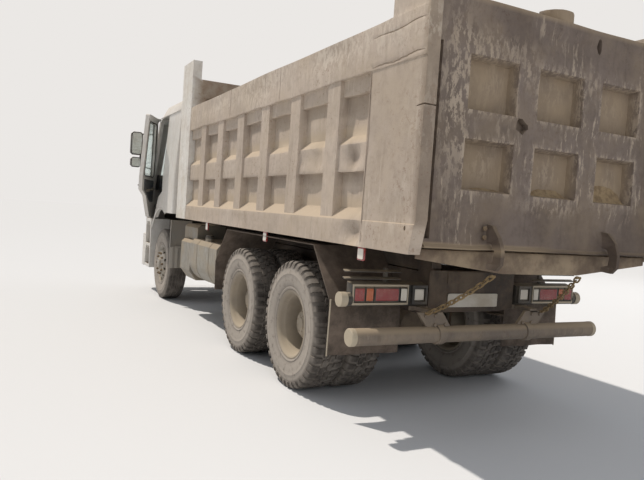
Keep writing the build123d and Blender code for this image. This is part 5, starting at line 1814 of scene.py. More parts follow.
@dataclass
class Tailgate:
    """The gridded gate: dented pockets, scraped columns, a torn hole, soil wedged in the lower pockets."""

    rear_x: float = -4.085
    # columns: pocket's low y, high y, low z, high z
    pockets: tuple[tuple[float, float, float, float], ...] = (
        (-0.827, -0.407, 1.770, 2.107), (-0.218, 0.218, 1.770, 2.107), (0.407, 0.827, 1.770, 2.107),
        (-0.827, -0.407, 2.294, 2.648), (-0.218, 0.218, 2.294, 2.648), (0.407, 0.827, 2.294, 2.648),
    )
    pocket_depth: float = 0.085
    dents: tuple[Dent, ...] = (
        Dent(0.32, 2.45, 0.10, 0.16, 0.020), Dent(-0.31, 2.20, 0.14, 0.09, 0.024),
        Dent(0.60, 2.20, 0.16, 0.07, 0.018), Dent(-0.10, 2.85, 0.30, 0.08, 0.020),
        Dent(0.75, 2.86, 0.18, 0.09, 0.016), Dent(-0.80, 2.88, 0.20, 0.08, 0.014),
        Dent(0.0, 1.58, 0.35, 0.08, 0.016), Dent(-0.62, 1.60, 0.20, 0.08, 0.022),
        Dent(0.62, 1.52, 0.22, 0.07, 0.014), Dent(-0.31, 1.92, 0.08, 0.12, 0.016),
        Dent(0.31, 1.95, 0.07, 0.14, 0.018), Dent(0.95, 2.30, 0.05, 0.25, 0.010),
    )

    def bend(self, points: Points) -> Points:
        """Push the dents in along X, let the pocket floors bulge out, and let the edges wave."""
        x, y, z = points.T
        rear = 1 - ease(x, -4.005, -3.985)
        push = sum(dent.depth(y, z) for dent in self.dents) + 0.003 * ripple(points * (0, 1, 1), 0.7, 17)
        for i, (y0, y1, z0, z1) in enumerate(self.pockets):
            middle = np.array([0, (y0 + y1) / 2, (z0 + z1) / 2])
            push = push - 0.014 * (1 + 0.4 * (i % 3)) * bell(points * (0, 1, 1), middle, (1, 0.12, 0.09))
        push = push * window(np.abs(y), 0.0, 1.02, 0.07) * window(z, 1.44, 2.96, 0.05)
        moved = points.copy()
        moved[:, 0] += rear * push
        moved[:, 2] += 0.006 * ripple(points * (0, 1, 0), 0.6, 8) * window(z, 2.97, 3.05,
            0.03) * (np.abs(y) < 1.05)
        moved[:, 2] += 0.005 * ripple(points * (0, 1, 0), 0.5, 9) * window(z, 1.36, 1.42,
            0.03) * (np.abs(y) < 1.05)
        return moved

    def scraped(self, points: Points) -> np.ndarray:
        """Bare metal on the left column, on the pockets' edges and in drags on the top band."""
        y, z = points[:, 1], points[:, 2]
        left = bell(points * (0, 1, 1), (0, 0.92, 2.35), (1, 0.13, 0.55))
        upper = bell(points * (0, 1, 1), (0, 0.62, 2.74), (1, 0.35, 0.06))
        edges = np.zeros(len(points))
        for y0, y1, z0, z1 in self.pockets:
            near = np.maximum(np.abs(y - (y0 + y1) / 2) - (y1 - y0) / 2,
                np.abs(z - (z0 + z1) / 2) - (z1 - z0) / 2)
            edges = np.maximum(edges, np.exp(-((near / 0.022) ** 2)))
        heads = sum(bell(points * (0, 1, 1), (0, side * 0.312, 2.60), (1, 0.05, 0.10)) for side in (1, -1))
        below = bell(points * (0, 1, 1), (0, 0.02, 1.70), (1, 0.26, 0.045))
        floors = sum(
            bell(points * (0, 1, 1), (0, (y0 + y1) / 2, (z0 + z1) / 2 + 0.02), (1, 0.12, 0.10))
            for y0, y1, z0, z1 in self.pockets
        )
        return 0.95 * left + 0.7 * upper + 0.75 * edges + 0.8 * heads + 0.8 * below + 0.7 * floors

    def ochre(self, points: Points) -> np.ndarray:
        """Pale soil: over the pocket floors, on the top edge and along the left half of the lip."""
        x, y, z = points.T
        deep = ease(x, -4.045, -4.015) * (1 - ease(x, -3.995, -3.985))
        fill = np.zeros(len(points))
        for i, (y0, y1, z0, z1) in enumerate(self.pockets):
            share = 0.75 + 0.25 * ripple(points * (0, 1, 1), 0.2, 60 + i)
            fill = np.maximum(fill, share * window(y, y0, y1, 0.01) * window(z, z0 + 0.02, z1 - 0.03, 0.05))
        top = ease(z, 2.990, 3.012) * (x < -4.0)
        lip = window(z, 1.380, 1.418, 0.01) * ease(y, -0.2, 0.3) * (x < -4.07)
        return 0.9 * fill * deep + 0.8 * top + 0.8 * lip

    def dark(self, points: Points) -> np.ndarray:
        """Darker in upright streaks over the lower and the top band, and painted shade all over the catches.
        """
        x, z = points[:, 0], points[:, 2]
        bands = window(z, 1.42, 1.70, 0.05) + window(z, 2.74, 2.98, 0.05)
        # the catches are darkened all over: painted shade
        catches = (1 - ease(x, self.rear_x - 0.020, self.rear_x - 0.010)) * (z < 1.9)
        return 0.45 * bands * (0.6 + 0.4 * ripple(points * (0, 1, 0.2), 0.25, 13)) + catches

    def tears(self) -> Shape:
        """Cutters of the ragged hole beside the left column and of the slot in the top band, through the
        rear sheet."""
        shape = Shape()
        for y, z, wide, tall, seed, corners in ((0.352, 2.236, 0.062, 0.050, 3, 11),
                (-0.350, 2.893, 0.024, 0.062, 5, 9)):
            rng = np.random.default_rng(seed)
            a = np.linspace(0, 2 * np.pi, corners, endpoint=False)
            r = 1 + 0.28 * rng.uniform(-1, 1, corners)
            outline = np.stack([y + wide * r * np.cos(a), z + tall * r * np.sin(a)], 1)
            shape.add(*prism(outline, "X", self.rear_x - 0.05, self.rear_x + 0.055))
        return shape

    def soil(self, shape: Shape) -> None:
        """Add the banks of soil that lie on the pockets' lower walls: a sloped bank whose top is a sine
        ridge."""
        for i, (y0, y1, z0, _) in enumerate(self.pockets[:3]):
            rise = (0.170, 0.070, 0.022)[i]
            u, v = np.meshgrid(np.linspace(0, 1, 24), np.linspace(0, 1, 8), indexing="ij")
            lean = np.sin(np.pi * np.clip(u * (0.9 + 0.2 * i), 0, 1)) ** 0.6
            y = y0 + 0.015 + (y1 - y0 - 0.03) * u
            x = self.rear_x + 0.030 + (self.pocket_depth - 0.026) * v
            grid = np.stack([x, y, np.full_like(x, z0)], -1)
            uneven = 0.006 * ripple(grid.reshape(-1, 3), 0.06, 40 + i).reshape(x.shape)
            top = z0 + 0.004 + 0.007 * v + rise * lean * v**1.3 + uneven * v
            near = np.stack([x, y, top], -1)
            far = np.stack([x, y, np.full_like(x, z0 - 0.006) + 0.018 * v], -1)
            shape.add(*plate_between(near, far))

    def hardware(self, shape: Shape) -> None:
        """Add the hinge pins' collars and the bolts of the catches."""
        for side in SIDES.values():
            centre = (-3.960, side * 1.2225, 3.065)
            shape.add(*knob(np.array([(0.045, 0), (0.045, 0.006), (0.034, 0.009), (0.030, 0.013)]) * (1,
                side), centre, 24))
            for z in (1.470, 1.530):
                shape.add(*hex_head((self.rear_x - 0.004, side * 0.610, z), "X", 0.030, -0.014))

    def build(self) -> None:
        """Dress the gate and add its soil and hardware."""
        # the dark mark paints shade on the catches and darkens the two bands in upright streaks
        marks = {Mark.SCRAPED: self.scraped, Mark.DUST_AND_PAINTED_LIGHT: self.ochre, Mark.GRIME_AND_SHADE: self.dark}
        dressed("tailgate", GATE_PAINT, 0.006, (0, 0.045, 0.045), self.bend, marks, self.tears(), 38)
        banks, hardware = Shape(), Shape()
        self.soil(banks)
        self.hardware(hardware)
        seat(banks.piece("gate_soil", 50), "tailgate", SOIL)
        seat(hardware.piece("gate_hardware", 30, 0.001), "tailgate", NUT_STEEL)


@dataclass
class BedFloor:
    """The wear plate and the shallow vee apron under the gate, the apron darkened with painted shade and
    faint upright grime streaks.
    """

    apron_x: float = -4.022

    def grime(self, points: Points) -> np.ndarray:
        """Painted shade over the apron, with faint upright grime streaks."""
        back = 1 - ease(points[:, 0], self.apron_x, self.apron_x + 0.01)
        # nearly even darkening of the whole apron is painted shade; the ripple adds faint streaks
        return back * (0.9 + 0.1 * ripple(points * (0, 1, 0.1), 0.15, 71))

    def build(self) -> None:
        """Dress the floor."""
        # the apron's grime mark is painted shade
        dressed("bed_floor", FLOOR_PLATE, 0.003, (0.4, 0.06, 0.05), None, {Mark.GRIME_AND_SHADE: self.grime})


@dataclass
class Headboard:
    """The tall frame ahead of the body: pale posts and beam, a rusty inner sheet, fixings on its ears."""

    inner_y: float = 1.093

    def soiled(self, points: Points) -> np.ndarray:
        """Brown grime all over the sheet and the beam between the posts."""
        return 0.9 * (1 - ease(np.abs(points[:, 1]), self.inner_y - 0.01, self.inner_y + 0.002))

    def rusted(self, points: Points) -> np.ndarray:
        """Rust in blotches over the sheet, and in soft patches all over the frame."""
        return 0.55 * self.soiled(points) + 0.25 * np.clip(ripple(points, 0.5, 51), 0, 1)

    def bend(self, points: Points) -> Points:
        """Let the posts' faces wave a little."""
        moved = points.copy()
        wave = 0.003 * ripple(points, 0.8, 52) * window(points[:, 2], 1.45, 3.45, 0.06)
        moved[:, 0] += wave * (points[:, 0] > 1.45) * (points[:, 0] < 1.81)
        return moved

    def build(self) -> None:
        """Dress the frame and cap its trunnions."""
        marks = {Mark.GRIME_AND_SHADE: self.soiled, Mark.RUSTED: self.rusted}
        dressed("headboard", POST_PAINT, 0.005, (0.13, 0.16, 0.10), self.bend, marks, None, 36)
        pins = Shape()
        for side in SIDES.values():
            cap = [(0.052, 0), (0.052, 0.008), (0.046, 0.012), (0.014, 0.012)]
            pins.add(*knob(np.array(cap) * (1, side), (1.600, side * 0.160, 1.620), 28))
        seat(pins.piece("trunnion_caps", 30), "bed", NUT_STEEL)


@dataclass
class Hoist:
    """The front hoist: a round cover with its collars and three ground rods, smooth where the solids have
    flats."""

    x: float = 1.600
    trunnion_z: float = 1.620

    def upright(self, profile: Points) -> tuple[Points, Faces]:
        """Turn (radius, height) about the hoist's line."""
        return knob(profile, (self.x, 0, 0), 48, "Z")

    def build(self) -> None:
        """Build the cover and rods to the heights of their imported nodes."""
        low, high = (corner[2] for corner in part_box("hoist_cover"))
        cover = Shape()
        profile = [(0.092, low + 0.001), (0.100, low + 0.004), (0.103, low + 0.010), (0.103, low + 0.045),
                   (0.099, low + 0.052), (0.099, low + 0.110), (0.1015, low + 0.116), (0.1015, low + 0.200),
                   (0.099, low + 0.206), (0.099, high - 0.060), (0.102, high - 0.054), (0.102, high - 0.022),
                   (0.096, high - 0.008), (0.080, high), (0.010, high)]
        cover.add(*self.upright(profile))
        for side in SIDES.values():
            pin = [(0.042, 0.096), (0.042, 0.120), (0.030, 0.126), (0.030, 0.166), (0.026, 0.168)]
            cover.add(*knob(np.array(pin) * (1, side), (self.x, 0, self.trunnion_z), 28))
        thing = cover.piece("hoist_tube", 30)
        seat(thing, "hoist_cover", HOIST_PAINT)
        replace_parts(thing, "hoist_cover")
        for node in ("hoist_rod_1", "hoist_rod_2"):
            (x0, _, low), (x1, _, high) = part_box(node)
            r = (x1 - x0) / 2 - 0.0005
            rod = Shape()
            rod.add(*self.upright([(r - 0.003, low), (r, low + 0.003), (r, high - 0.002), (r - 0.002, high)]))
            gland = Shape()
            gland.add(*self.upright([(r + 0.0005, low + 0.001), (r + 0.0030, low + 0.004),
                (r + 0.0030, low + 0.020), (r + 0.0005, low + 0.023)]))
            thing = rod.piece(f"{node}_tube", 30)
            seat(thing, node, CHROME)
            seat(gland.piece(f"{node}_gland", 30), node, HOIST_PAINT)
            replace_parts(thing, node)
        (_, _, low), (_, _, high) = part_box("hoist_rod_3")
        last, foot = Shape(), Shape()
        last.add(*self.upright([(0.054, low + 0.075), (0.0565, low + 0.078), (0.0565, high - 0.002),
            (0.054, high)]))
        foot.add(*knob([(0.046, -0.058), (0.048, -0.055), (0.048, 0.055), (0.046, 0.058)],
            (self.x, 0, low + 0.048), 32))
        thing = last.piece("hoist_rod_3_tube", 30)
        seat(thing, "hoist_rod_3", CHROME)
        seat(foot.piece("hoist_rod_3_eye", 30), "hoist_rod_3", HOIST_PAINT)
        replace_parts(thing, "hoist_rod_3")


# Cab


@dataclass
class Cab:
    """The cab's shell and front: rounded panels, seams, lamps on the visor, wipers, handles and step
    treads."""

    half: float = 1.225

    def seams(self, shape: Shape) -> None:
        """Add the drip rails over the doors: rounded strips along paths."""
        for side in SIDES.values():
            path = [(3.630, side * 1.218, 2.06), (3.410, side * 1.181, 2.925), (3.360, side * 1.178, 2.948),
                (2.820, side * 1.176, 2.948),
                    (2.100, side * 1.176, 2.948)]
            shape.add(*tube(rounded(path, 5, 0.2, closed=False), 0.007, 8))

    def wipers(self, shape: Shape) -> None:
        """Add two parked wipers: a bent arm and a long blade on the windscreen's slope."""
        for y in (-0.55, 0.35):
            low = np.array((4.005, y, 1.945))
            arm = [low, low + (0.020, 0.06, 0.05), low + (-0.045, 0.30, 0.22)]
            shape.add(*tube(rounded(arm, 4, 0.3, closed=False), 0.007, 8))
            blade = [low + (0.006, 0.02, 0.10), low + (-0.094, 0.60, 0.36)]
            shape.add(*tube(blade, 0.009, 8))

    def horns(self, dark: Shape, amber: Shape) -> None:
        """Add five marker lamps on the visor, each a turned dome on a base."""
        for y in (-0.90, -0.45, 0.0, 0.45, 0.90):
            centre = (3.815, y, 2.838)
            dark.add(*knob([(0.045, -0.012), (0.045, 0.010), (0.038, 0.014), (0.004, 0.014)], centre, 20,
                "Z"))
            amber.add(*knob([(0.034, 0.012), (0.033, 0.028), (0.024, 0.042), (0.010, 0.047), (0.002, 0.048)],
                centre, 20, "Z"))

    def treads(self, shape: Shape) -> None:
        """Add ribbed tread plates in the step boxes: rows of low bars across each step."""
        for side in SIDES.values():
            for z in (0.470, 0.830):
                x = np.linspace(3.560, 3.850, 10)
                low, high = sorted((side * 0.975, side * 1.215))
                for place in x:
                    shape.add(*box_shape((place - 0.006, low, z - 0.001), (place + 0.006, high, z + 0.007)))

    def arches(self, shape: Shape) -> None:
        """Add the wheel-arch trims: a half round strip along the arc that the shell's openings follow."""
        a = np.radians(np.linspace(18, 162, 40))
        for side in SIDES.values():
            x = 2.850 + 0.664 * np.cos(a)
            z = 0.790 + 0.664 * np.sin(a)
            keep = (z > 1.10) & ((x > 2.85) | (z > 1.375))
            path = np.stack([x, np.full(40, side * 1.219), z], 1)[keep]
            shape.add(*tube(path, 0.012, 8))

    def build(self) -> None:
        """Dress the shell, floor, front panel, bumper and glass, and add the fittings."""
        dressed("cab_shell", CAB_PAINT, 0.010, smooth_deg=30)
        dressed("cab_floor", TRIM_PLASTIC, 0.004)
        dressed("cab_grille", BLACK_PLASTIC, 0.003)
        dressed("front_bumper", CAB_PAINT, 0.008)
        dressed("windscreen", GLASS, 0)
        seams, wipers, dark, amber, treads, arches = (Shape() for _ in range(6))
        self.seams(seams)
        self.wipers(wipers)
        self.horns(dark, amber)
        self.treads(treads)
        self.arches(arches)
        seat(seams.piece("cab_drip_rails", 40), "cab", CAB_PAINT)
        seat(wipers.piece("wipers", 40), "cab", BLACK_PLASTIC)
        seat(dark.piece("marker_bases", 30), "cab", BLACK_PLASTIC)
        seat(amber.piece("marker_domes", 30), "cab", AMBER_LENS)
        seat(treads.piece("step_treads", 30), "chassis", CASTING)
        seat(arches.piece("arch_trims", 40), "cab", CAB_PAINT)


@dataclass
class Headlamps:
    """Clear covers over two round reflectors and an amber corner in each bumper recess."""

    def build(self) -> None:
        """Dress the covers and stand turned reflectors inside them."""
        dressed("headlamps", GLASS, 0.006)
        bowls, amber = Shape(), Shape()
        for side in SIDES.values():
            for y in (0.845, 0.965):
                centre = (4.150, side * y, 0.720)
                profile = [(0.012, -0.012), (0.030, 0.004), (0.046, 0.030), (0.052, 0.050), (0.055, 0.050),
                    (0.050, 0.026),
                           (0.034, -0.004), (0.014, -0.016)]
                bowls.add(*turned(profile, centre, 32, "X"))
                bowls.add(*knob([(0.012, -0.010), (0.012, 0.020), (0.006, 0.028), (0.002, 0.028)], centre,
                    16, "X"))
            low, high = sorted((side * 1.026, side * 1.058))
            amber.add(*box_shape((4.140, low, 0.640), (4.190, high, 0.800)))
        seat(bowls.piece("reflectors", 40), "chassis", REFLECTOR)
        seat(amber.piece("corner_lamps", 30, 0.004), "chassis", AMBER_LENS)


@dataclass
class Doors:
    """Both doors: rounded panels, an outer handle, an inner trim panel with its armrest and pull, and
    rubber seals."""

    hinge: tuple[float, float] = (3.627, 1.225)
    open_deg: float = 26.0

    def swing(self, points: Points) -> Points:
        """Turn points of the closed left door ajar about its hinge: (x, y) turns by the opening angle."""
        a = -math.radians(self.open_deg)
        x, y = points[:, 0] - self.hinge[0], points[:, 1] - self.hinge[1]
        turned_x = self.hinge[0] + x * math.cos(a) - y * math.sin(a)
        turned_y = self.hinge[1] + x * math.sin(a) + y * math.cos(a)
        return np.stack([turned_x, turned_y, points[:, 2]], 1)

    def placed(self, shape: Shape, side: float) -> Shape:
        """Put a closed left door's shape on its side: ajar on the left, mirrored and closed on the right."""
        return shape.moved(self.swing if side > 0 else lambda points: points * (1, -1, 1))

    def outline(self, inset: float) -> Points:
        """The window's rounded outline, set in or out."""
        corners = np.array([(3.505, 1.960), (3.350, 2.800), (3.320, 2.830), (2.910, 2.830), (2.890, 2.805),
            (2.890, 1.960)])
        middle = corners.mean(axis=0)
        return middle + (corners - middle) * (1 - inset)

    def lean(self, z: np.ndarray) -> np.ndarray:
        """How far the cab's side leans in at a height: straight up to 1.93 m, then 53 mm over 0.93 m."""
        return 0.053 * np.clip((z - 1.93) / 0.93, 0, 1)

    def seal(self) -> Shape:
        """A rubber seal round the window, outside and inside."""
        shape = Shape()
        for inset, face in ((0.0, 1.224), (0.0, 1.166)):
            flat = rounded(self.outline(inset), 4, 0.12)
            path = np.stack([flat[:, 0], face - self.lean(flat[:, 1]), flat[:, 1]], 1)
            shape.add(*tube(path, 0.009, 8, closed=True))
        return shape

    def trim(self) -> Shape:
        """The inner trim: a padded panel, crowned as 12 mm (1 - u^6)(1 - v^6), below the window."""
        shape = Shape()
        u, v = np.meshgrid(np.linspace(-1, 1, 19), np.linspace(-1, 1, 23), indexing="ij")
        low = 1.535 + 0.20 * np.clip((0.25 - u) / 1.25, 0, 1)
        x = 3.215 + 0.300 * u
        z = low + (1.905 - low) * (v + 1) / 2
        bulge = (
            0.016 * (1 - u**6) * (1 - v**6) ** 0.5
            + 0.010 * np.exp(-(((v - 0.1) / 0.16) ** 2)) * (1 - u**6)
        )
        near = np.stack([x, 1.1665 - bulge, z], -1)
        far = np.stack([x, np.full_like(x, 1.168), z], -1)
        shape.add(*plate_between(near, far))
        return shape

    def pulls(self) -> Shape:
        """The armrest with its pull inside, and the handle in its scoop outside."""
        shape = Shape()
        arm = [(3.02, 1.150, 1.72), (3.04, 1.098, 1.73), (3.28, 1.092, 1.75), (3.34, 1.140, 1.77)]
        shape.add(*tube(rounded(arm, 5, 0.3, closed=False), 0.017, 12))
        handle = [(2.870, 1.226, 1.800), (2.885, 1.250, 1.800), (3.035, 1.252, 1.800), (3.050, 1.228, 1.800)]
        shape.add(*tube(rounded(handle, 5, 0.3, closed=False), 0.012, 10))
        shape.add(*prism(rounded([(2.855, 1.765), (3.065, 1.765), (3.065, 1.835), (2.855, 1.835)], 4, 0.2),
            "Y", 1.220, 1.2275))
        return shape

    def build(self) -> None:
        """Dress the panels and the glass and hang the fittings on them."""
        for name, side in SIDES.items():
            door, glass = f"door_{name}", f"door_glass_{name}"
            dressed(door, CAB_PAINT, 0.007, smooth_deg=30)
            dressed(glass, GLASS, 0)
            pieces = (("seal", self.seal(), SEAL_RUBBER, 40), ("trim", self.trim(), TRIM_PLASTIC, 40),
                ("pulls", self.pulls(), BLACK_PLASTIC, 40))
            for kind, shape, finish, angle in pieces:
                thing = self.placed(shape, side)
                thing = self.turned_out(thing).piece(f"{door}_{kind}", angle)
                seat(thing, door, finish)

    def turned_out(self, shape: Shape) -> Shape:
        """Turn every face round again after a mirroring, so that it looks outwards."""
        fresh = Shape()
        fresh.points, fresh.faces, fresh.count = shape.points, shape.faces, shape.count
        if inside_out(shape.all_points(), shape.faces):
            fresh.faces = [face[::-1] for face in shape.faces]
        return fresh


@dataclass
class Mirrors:
    """Mirror heads on tubular arms: rounded shells with the glass set in their rear faces."""

    def build(self) -> None:
        """Dress the arms and heads, and set a bright pane in each head."""
        dressed("mirrors", BLACK_PLASTIC, 0.010)
        panes = Shape()
        for side in SIDES.values():
            for z, wide, tall in ((2.525, 0.160, 0.355), (2.205, 0.140, 0.140)):
                y, h, v = side * 1.495, wide / 2, tall / 2
                corners = [(y - h, z - v), (y + h, z - v), (y + h, z + v), (y - h, z + v)]
                panes.add(*prism(rounded(corners, 4, 0.2), "X", 3.6965, 3.706))
        seat(panes.piece("mirror_panes", 30, 0.001), "cab", REFLECTOR)


@dataclass
class Interior:
    """Seats, dashboard and steering wheel, seen through the glass and the open door."""

    seat_y: float = 0.740

    def cushion(self, y: float) -> tuple[Points, Faces]:
        """The seat's cushion: crowned across and along, with two seams where the bolsters meet the middle.

        Height is h (1 - |u|^5)^0.4 (1 - |v|^6)^0.4, less a 9 mm groove at |v| = 0.55.
        """
        u, v = np.meshgrid(np.linspace(-1, 1, 33), np.linspace(-1, 1, 41), indexing="ij")
        sides = 1 - 0.035 * (1 - np.abs(u) ** 4)
        crown = (1 - np.abs(u) ** 5) ** 0.4 * (1 - np.abs(v) ** 6) ** 0.4
        groove = (
            0.009 * np.exp(-(((np.abs(v) - 0.55) / 0.035) ** 2))
            + 0.006 * np.exp(-((u / 0.03) ** 2)) * (np.abs(v) < 0.55)
        )
        x = 2.905 + 0.262 * u
        yy = y + 0.246 * v * sides
        bolster = 0.020 * window(np.abs(v), 0.66, 0.88, 0.10)
        top = 1.812 + 0.082 * crown + (bolster - groove) * crown
        near = np.stack([x, yy, top], -1)
        far = np.stack([x, yy, 1.802 - 0.030 * (1 - np.abs(u) ** 6) * (1 - np.abs(v) ** 6)], -1)
        return plate_between(near, far)

    def back(self, y: float) -> tuple[Points, Faces]:
        """The seat's back: a crowned pad leaning back by 13 degrees, with bolsters and three cross seams."""
        u, v = np.meshgrid(np.linspace(-1, 1, 45), np.linspace(-1, 1, 37), indexing="ij")
        narrow = 1 - 0.10 * np.clip(u, 0, 1) ** 2 - 0.03 * (1 - np.abs(u) ** 4)
        crown = (1 - np.abs(u) ** 6) ** 0.4 * (1 - np.abs(v) ** 6) ** 0.4
        seams = (
            sum(0.007 * np.exp(-(((u - at) / 0.02) ** 2)) for at in (-0.4, 0.05, 0.5))
            * (np.abs(v) < 0.58)
        )
        seams = seams + 0.008 * np.exp(-(((np.abs(v) - 0.6) / 0.035) ** 2))
        z = 2.205 + 0.300 * u
        lean = 2.700 - 0.075 * u
        thick = 0.030 + 0.045 * crown + (0.018 * window(np.abs(v), 0.7, 0.88, 0.1) - seams) * crown
        yy = y + 0.236 * v * narrow
        near = np.stack([lean + thick, yy, z], -1)
        far = np.stack([lean - 0.030 - 0.030 * crown, yy, z], -1)
        return plate_between(near, far)

    def head(self, y: float) -> tuple[Points, Faces]:
        """The head pad: a crowned block, thinner at its corners."""
        u, v = np.meshgrid(np.linspace(-1, 1, 17), np.linspace(-1, 1, 21), indexing="ij")
        crown = (1 - np.abs(u) ** 4) ** 0.45 * (1 - np.abs(v) ** 4) ** 0.45
        z, yy = 2.622 + 0.092 * u, y + 0.126 * v
        near = np.stack([2.630 + 0.038 * crown, yy, z], -1)
        far = np.stack([2.618 - 0.038 * crown, yy, z], -1)
        return plate_between(near, far)

    def frame_of(self, y: float, shape: Shape) -> None:
        """Add the seat's stand: a box with a bellows and slide rails."""
        for level in range(5):
            z = 1.500 + 0.052 * level
            shape.add(*box_shape((2.735, y - 0.165, z + 0.004), (3.075, y + 0.165, z + 0.024)))
            shape.add(*box_shape((2.722, y - 0.178, z + 0.024), (3.088, y + 0.178, z + 0.052)))
        shape.add(*box_shape((2.680, y - 0.200, 1.758), (3.130, y + 0.200, 1.776)))
        for post in (-0.06, 0.06):
            shape.add(*tube([(2.636, y + post, 2.500), (2.626, y + post, 2.560)], 0.008, 8))

    def dash(self) -> tuple[Points, Faces]:
        """The dashboard: one rounded section carried across the cab, drawn back behind the wheel."""
        corners = np.array([(3.600, 1.800), (3.640, 1.960), (3.760, 2.018), (3.880, 2.018), (3.995, 1.900),
            (3.995, 1.762),
                            (3.760, 1.762)])
        section = rounded(corners, 5, 0.25)
        y = np.linspace(-1.085, 1.085, 41)
        near = 1 - ease(section[:, 0], 3.62, 3.80)
        hood = 0.030 * np.exp(-(((y - 0.74) / 0.24) ** 6))[:,
            None] * near[None] * (section[:, 1] > 1.93)[None]
        x = np.broadcast_to(section[:, 0], hood.shape)
        z = section[:, 1] + hood
        ends = 1 - 0.02 * np.abs(y / 1.085)[:, None] ** 12
        x = 3.80 + (x - 3.80) * ends
        points = np.stack([x, np.broadcast_to(y[:, None], x.shape), z], -1)
        n = len(section)
        faces = grid_faces(len(y), n, False, True).tolist()
        faces += [list(range(n))[::-1], [(len(y) - 1) * n + i for i in range(n)]]
        return points.reshape(-1, 3), faces

    def wheel(self, shape: Shape) -> None:
        """Add the steering wheel: a ring of radius R + r cos b turned about a raked column, three spokes
        and a boss."""
        centre, rake = np.array((3.440, self.seat_y, 2.080)), math.radians(141)
        axis = np.array((math.cos(rake), 0, -math.sin(rake)))
        across, up = np.array((0.0, 1.0, 0.0)), np.array((math.sin(rake), 0, math.cos(rake)))
        a = np.linspace(0, 2 * np.pi, 48, endpoint=False)[:, None, None]
        b = np.linspace(0, 2 * np.pi, 12, endpoint=False)[None, :, None]
        radius = 0.225 + 0.0145 * np.cos(b)
        ring = centre + radius * (np.cos(a) * across + np.sin(a) * up) + 0.0145 * np.sin(b) * axis
        shape.add(ring.reshape(-1, 3), grid_faces(48, 12, True, True))
        for turn in (90.0, 200.0, 340.0):
            t = math.radians(turn)
            out = math.cos(t) * across + math.sin(t) * up
            path = [centre + out * 0.03 - axis * 0.018, centre + out * 0.13 - axis * 0.022,
                centre + out * 0.222]
            shape.add(*tube(path, [0.017, 0.013, 0.011], 10))
        to_column = -axis if axis[2] > 0 else axis
        shape.add(*tube([centre - to_column * 0.020, centre + to_column * 0.045], [0.052, 0.060], 24))
        shape.add(*tube([centre, (3.660, self.seat_y, 1.890)], [0.030, 0.034], 16))

    def fittings(self, shape: Shape) -> None:
        """Add vents, a row of blank keys, the gear lever and the pedals."""
        for y in (-0.95, -0.60, 0.25, 1.00):
            for i in range(5):
                z = 1.885 + 0.014 * i
                shape.add(*box_shape((3.606 + 0.0033 * i, y - 0.065, z),
                    (3.624 + 0.0033 * i, y + 0.065, z + 0.005)))
        for i in range(6):
            y = -0.32 + 0.075 * i
            shape.add(*box_shape((3.600, y - 0.026, 1.820), (3.614, y + 0.026, 1.858)))
        lever = [(3.300, 0.330, 1.745), (3.290, 0.335, 1.900), (3.240, 0.360, 2.040)]
        shape.add(*tube(rounded(lever, 5, 0.3, closed=False), 0.009, 10))
        shape.add(*knob([(0.012, -0.03), (0.026, -0.012), (0.028, 0.010), (0.018, 0.028), (0.004, 0.032)],
            lever[2], 16, "Z"))
        for y in (0.56, 0.70, 0.86):
            shape.add(*tube([(3.740, y, 1.720), (3.640, y, 1.580)], 0.008, 8))
            shape.add(*box_shape((3.610, y - 0.035, 1.560), (3.630, y + 0.035, 1.640)))

    def build(self) -> None:
        """Build the padded pieces and the hard ones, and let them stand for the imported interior."""
        stands, wheel, board, fittings = Shape(), Shape(), Shape(), Shape()
        for side in SIDES.values():
            y = side * self.seat_y
            self.frame_of(y, stands)
            for kind, (points, faces) in (("cushion", self.cushion(y)), ("back", self.back(y)),
                    ("head", self.head(y))):
                pad = Shape().add(points, faces).piece(f"seat_{kind}_{'left' if side > 0 else 'right'}", 60)
                seat(pad, "cab", SEAT_CLOTH)
        board.add(*self.dash())
        self.wheel(wheel)
        self.fittings(fittings)
        thing = board.piece("dashboard", 35)
        seat(thing, "cab", TRIM_PLASTIC)
        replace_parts(thing, "cab_interior")
        seat(stands.piece("seat_stands", 30, 0.002), "cab", BLACK_PLASTIC)
        seat(wheel.piece("steering_wheel", 50), "cab", BLACK_PLASTIC)
        seat(fittings.piece("cab_fittings", 30), "cab", BLACK_PLASTIC)
        LOG.info("built interior")


# Running gear


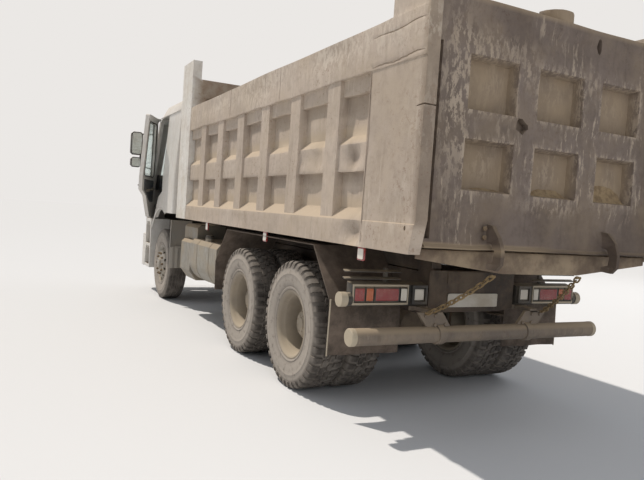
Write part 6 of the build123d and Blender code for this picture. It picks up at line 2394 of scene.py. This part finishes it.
@dataclass
class RunningGear:
    """What is added to the frame: bolts, hoses, caps and the blank plate behind."""

    rail_y: float = 0.388

    def rail_bolts(self, shape: Shape) -> None:
        """Add two rows of hexagon bolts along each rail, at every cross member."""
        x = np.arange(-3.20, 3.95, 0.34)
        for side in SIDES.values():
            for z in (0.845, 0.995):
                for place in x:
                    shape.add(*hex_head((place, side * self.rail_y, z), "Y", 0.024, side * 0.011))

    def clamps(self, shape: Shape) -> None:
        """Add the two U bolts that clamp each spring to its axle, with their nuts below."""
        for x in (-0.965, -2.325, 2.835):
            wide = 0.050
            for side in SIDES.values():
                y0 = side * (0.44 if x > 0 else 0.485)
                for dx in (-0.09, 0.09):
                    path = [(x + dx, y0 - wide, 0.44), (x + dx, y0 - wide, 0.80), (x + dx, y0 + wide, 0.80),
                        (x + dx, y0 + wide, 0.44)]
                    shape.add(*tube(rounded(path, 6, 0.2, closed=False), 0.011, 8))

    def hoses(self, shape: Shape) -> None:
        """Add air hoses along the rails' inner sides: tubes that dip between their clips."""
        for y, z, r in ((0.345, 0.985, 0.011), (0.330, 0.955, 0.009), (-0.345, 0.975, 0.012)):
            x = np.linspace(-3.1, 3.3, 90)
            dip = 0.008 * np.cos(2 * np.pi * x / 0.42)
            shape.add(*tube(np.stack([x, np.full(90, y), z + dip], 1), r, 8))

    def caps(self, shape: Shape) -> None:
        """Add the turned caps of the fuel tank and urea tank."""
        shape.add(*knob([(0.058, 0), (0.058, 0.010), (0.050, 0.014), (0.050, 0.036), (0.040, 0.042),
            (0.004, 0.042)],
                        (0.470, 1.095, 1.130), 28, "Z"))
        shape.add(*knob([(0.045, 0), (0.045, 0.020), (0.036, 0.026), (0.004, 0.026)], (1.420, 1.060, 1.058),
            24, "Z"))

    def plate(self, shape: Shape) -> None:
        """Add the blank plate, a thin dished sheet with rounded corners, on the rear cross panel."""
        corners = rounded([(-0.26, 0.872), (0.26, 0.872), (0.26, 0.982), (-0.26, 0.982)], 5, 0.06)
        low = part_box("chassis_frame")[0][0]
        shape.add(*prism(corners, "X", low - 0.004, low + 0.004))

    def build(self) -> None:
        """Build the additions and seat them on the frame."""
        bolts, clamps, hoses, caps, plate = (Shape() for _ in range(5))
        self.rail_bolts(bolts)
        self.clamps(clamps)
        self.hoses(hoses)
        self.caps(caps)
        self.plate(plate)
        seat(bolts.piece("rail_bolts", 30), "chassis", NUT_STEEL)
        seat(clamps.piece("spring_clamps", 40), "chassis", NUT_STEEL)
        seat(hoses.piece("air_hoses", 50), "chassis", SEAL_RUBBER)
        seat(caps.piece("tank_caps", 30), "chassis", BLACK_PLASTIC)
        seat(plate.piece("blank_plate", 30, 0.001), "chassis", PLATE_SHEET)


@dataclass
class PlainNodes:
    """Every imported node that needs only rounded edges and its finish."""

    bevel: float = 0.003
    finish_of: tuple[tuple[str, Finish], ...] = (
        ("side_boxes", TANK_SHEET), ("tipper_subframe", FRAME_PAINT),
    )

    def build(self, taken: set[str]) -> None:
        """Dress each node that no other class has taken."""
        special = dict(self.finish_of)
        for node in sorted(frame["nodes"]):
            if node not in taken:
                dressed(node, special.get(node, FINISH_OF_SLOT[SLOT_OF[node]]), self.bevel)


def shown_nodes() -> set[str]:
    """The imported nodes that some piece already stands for."""
    return {node for thing in bpy.data.objects for node in thing.get("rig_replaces", [])}


def main() -> None:
    """Build the studio and the truck."""
    logging.basicConfig(level=logging.INFO, format="%(name)s: %(message)s")
    Studio().build()
    for assembly in (
        Wheels(), Chains(), TailLamps(), UnderrunBar(), Mudguards(), BedSides(), SideMarkers(), Tailgate(),
        BedFloor(), Headboard(),
        Hoist(), Cab(), Headlamps(), Doors(), Mirrors(), Interior(), RunningGear(),
    ):
        assembly.build()
        LOG.info("finished %s", type(assembly).__name__)
    PlainNodes().build(shown_nodes())


if __name__ == "__main__":
    main()
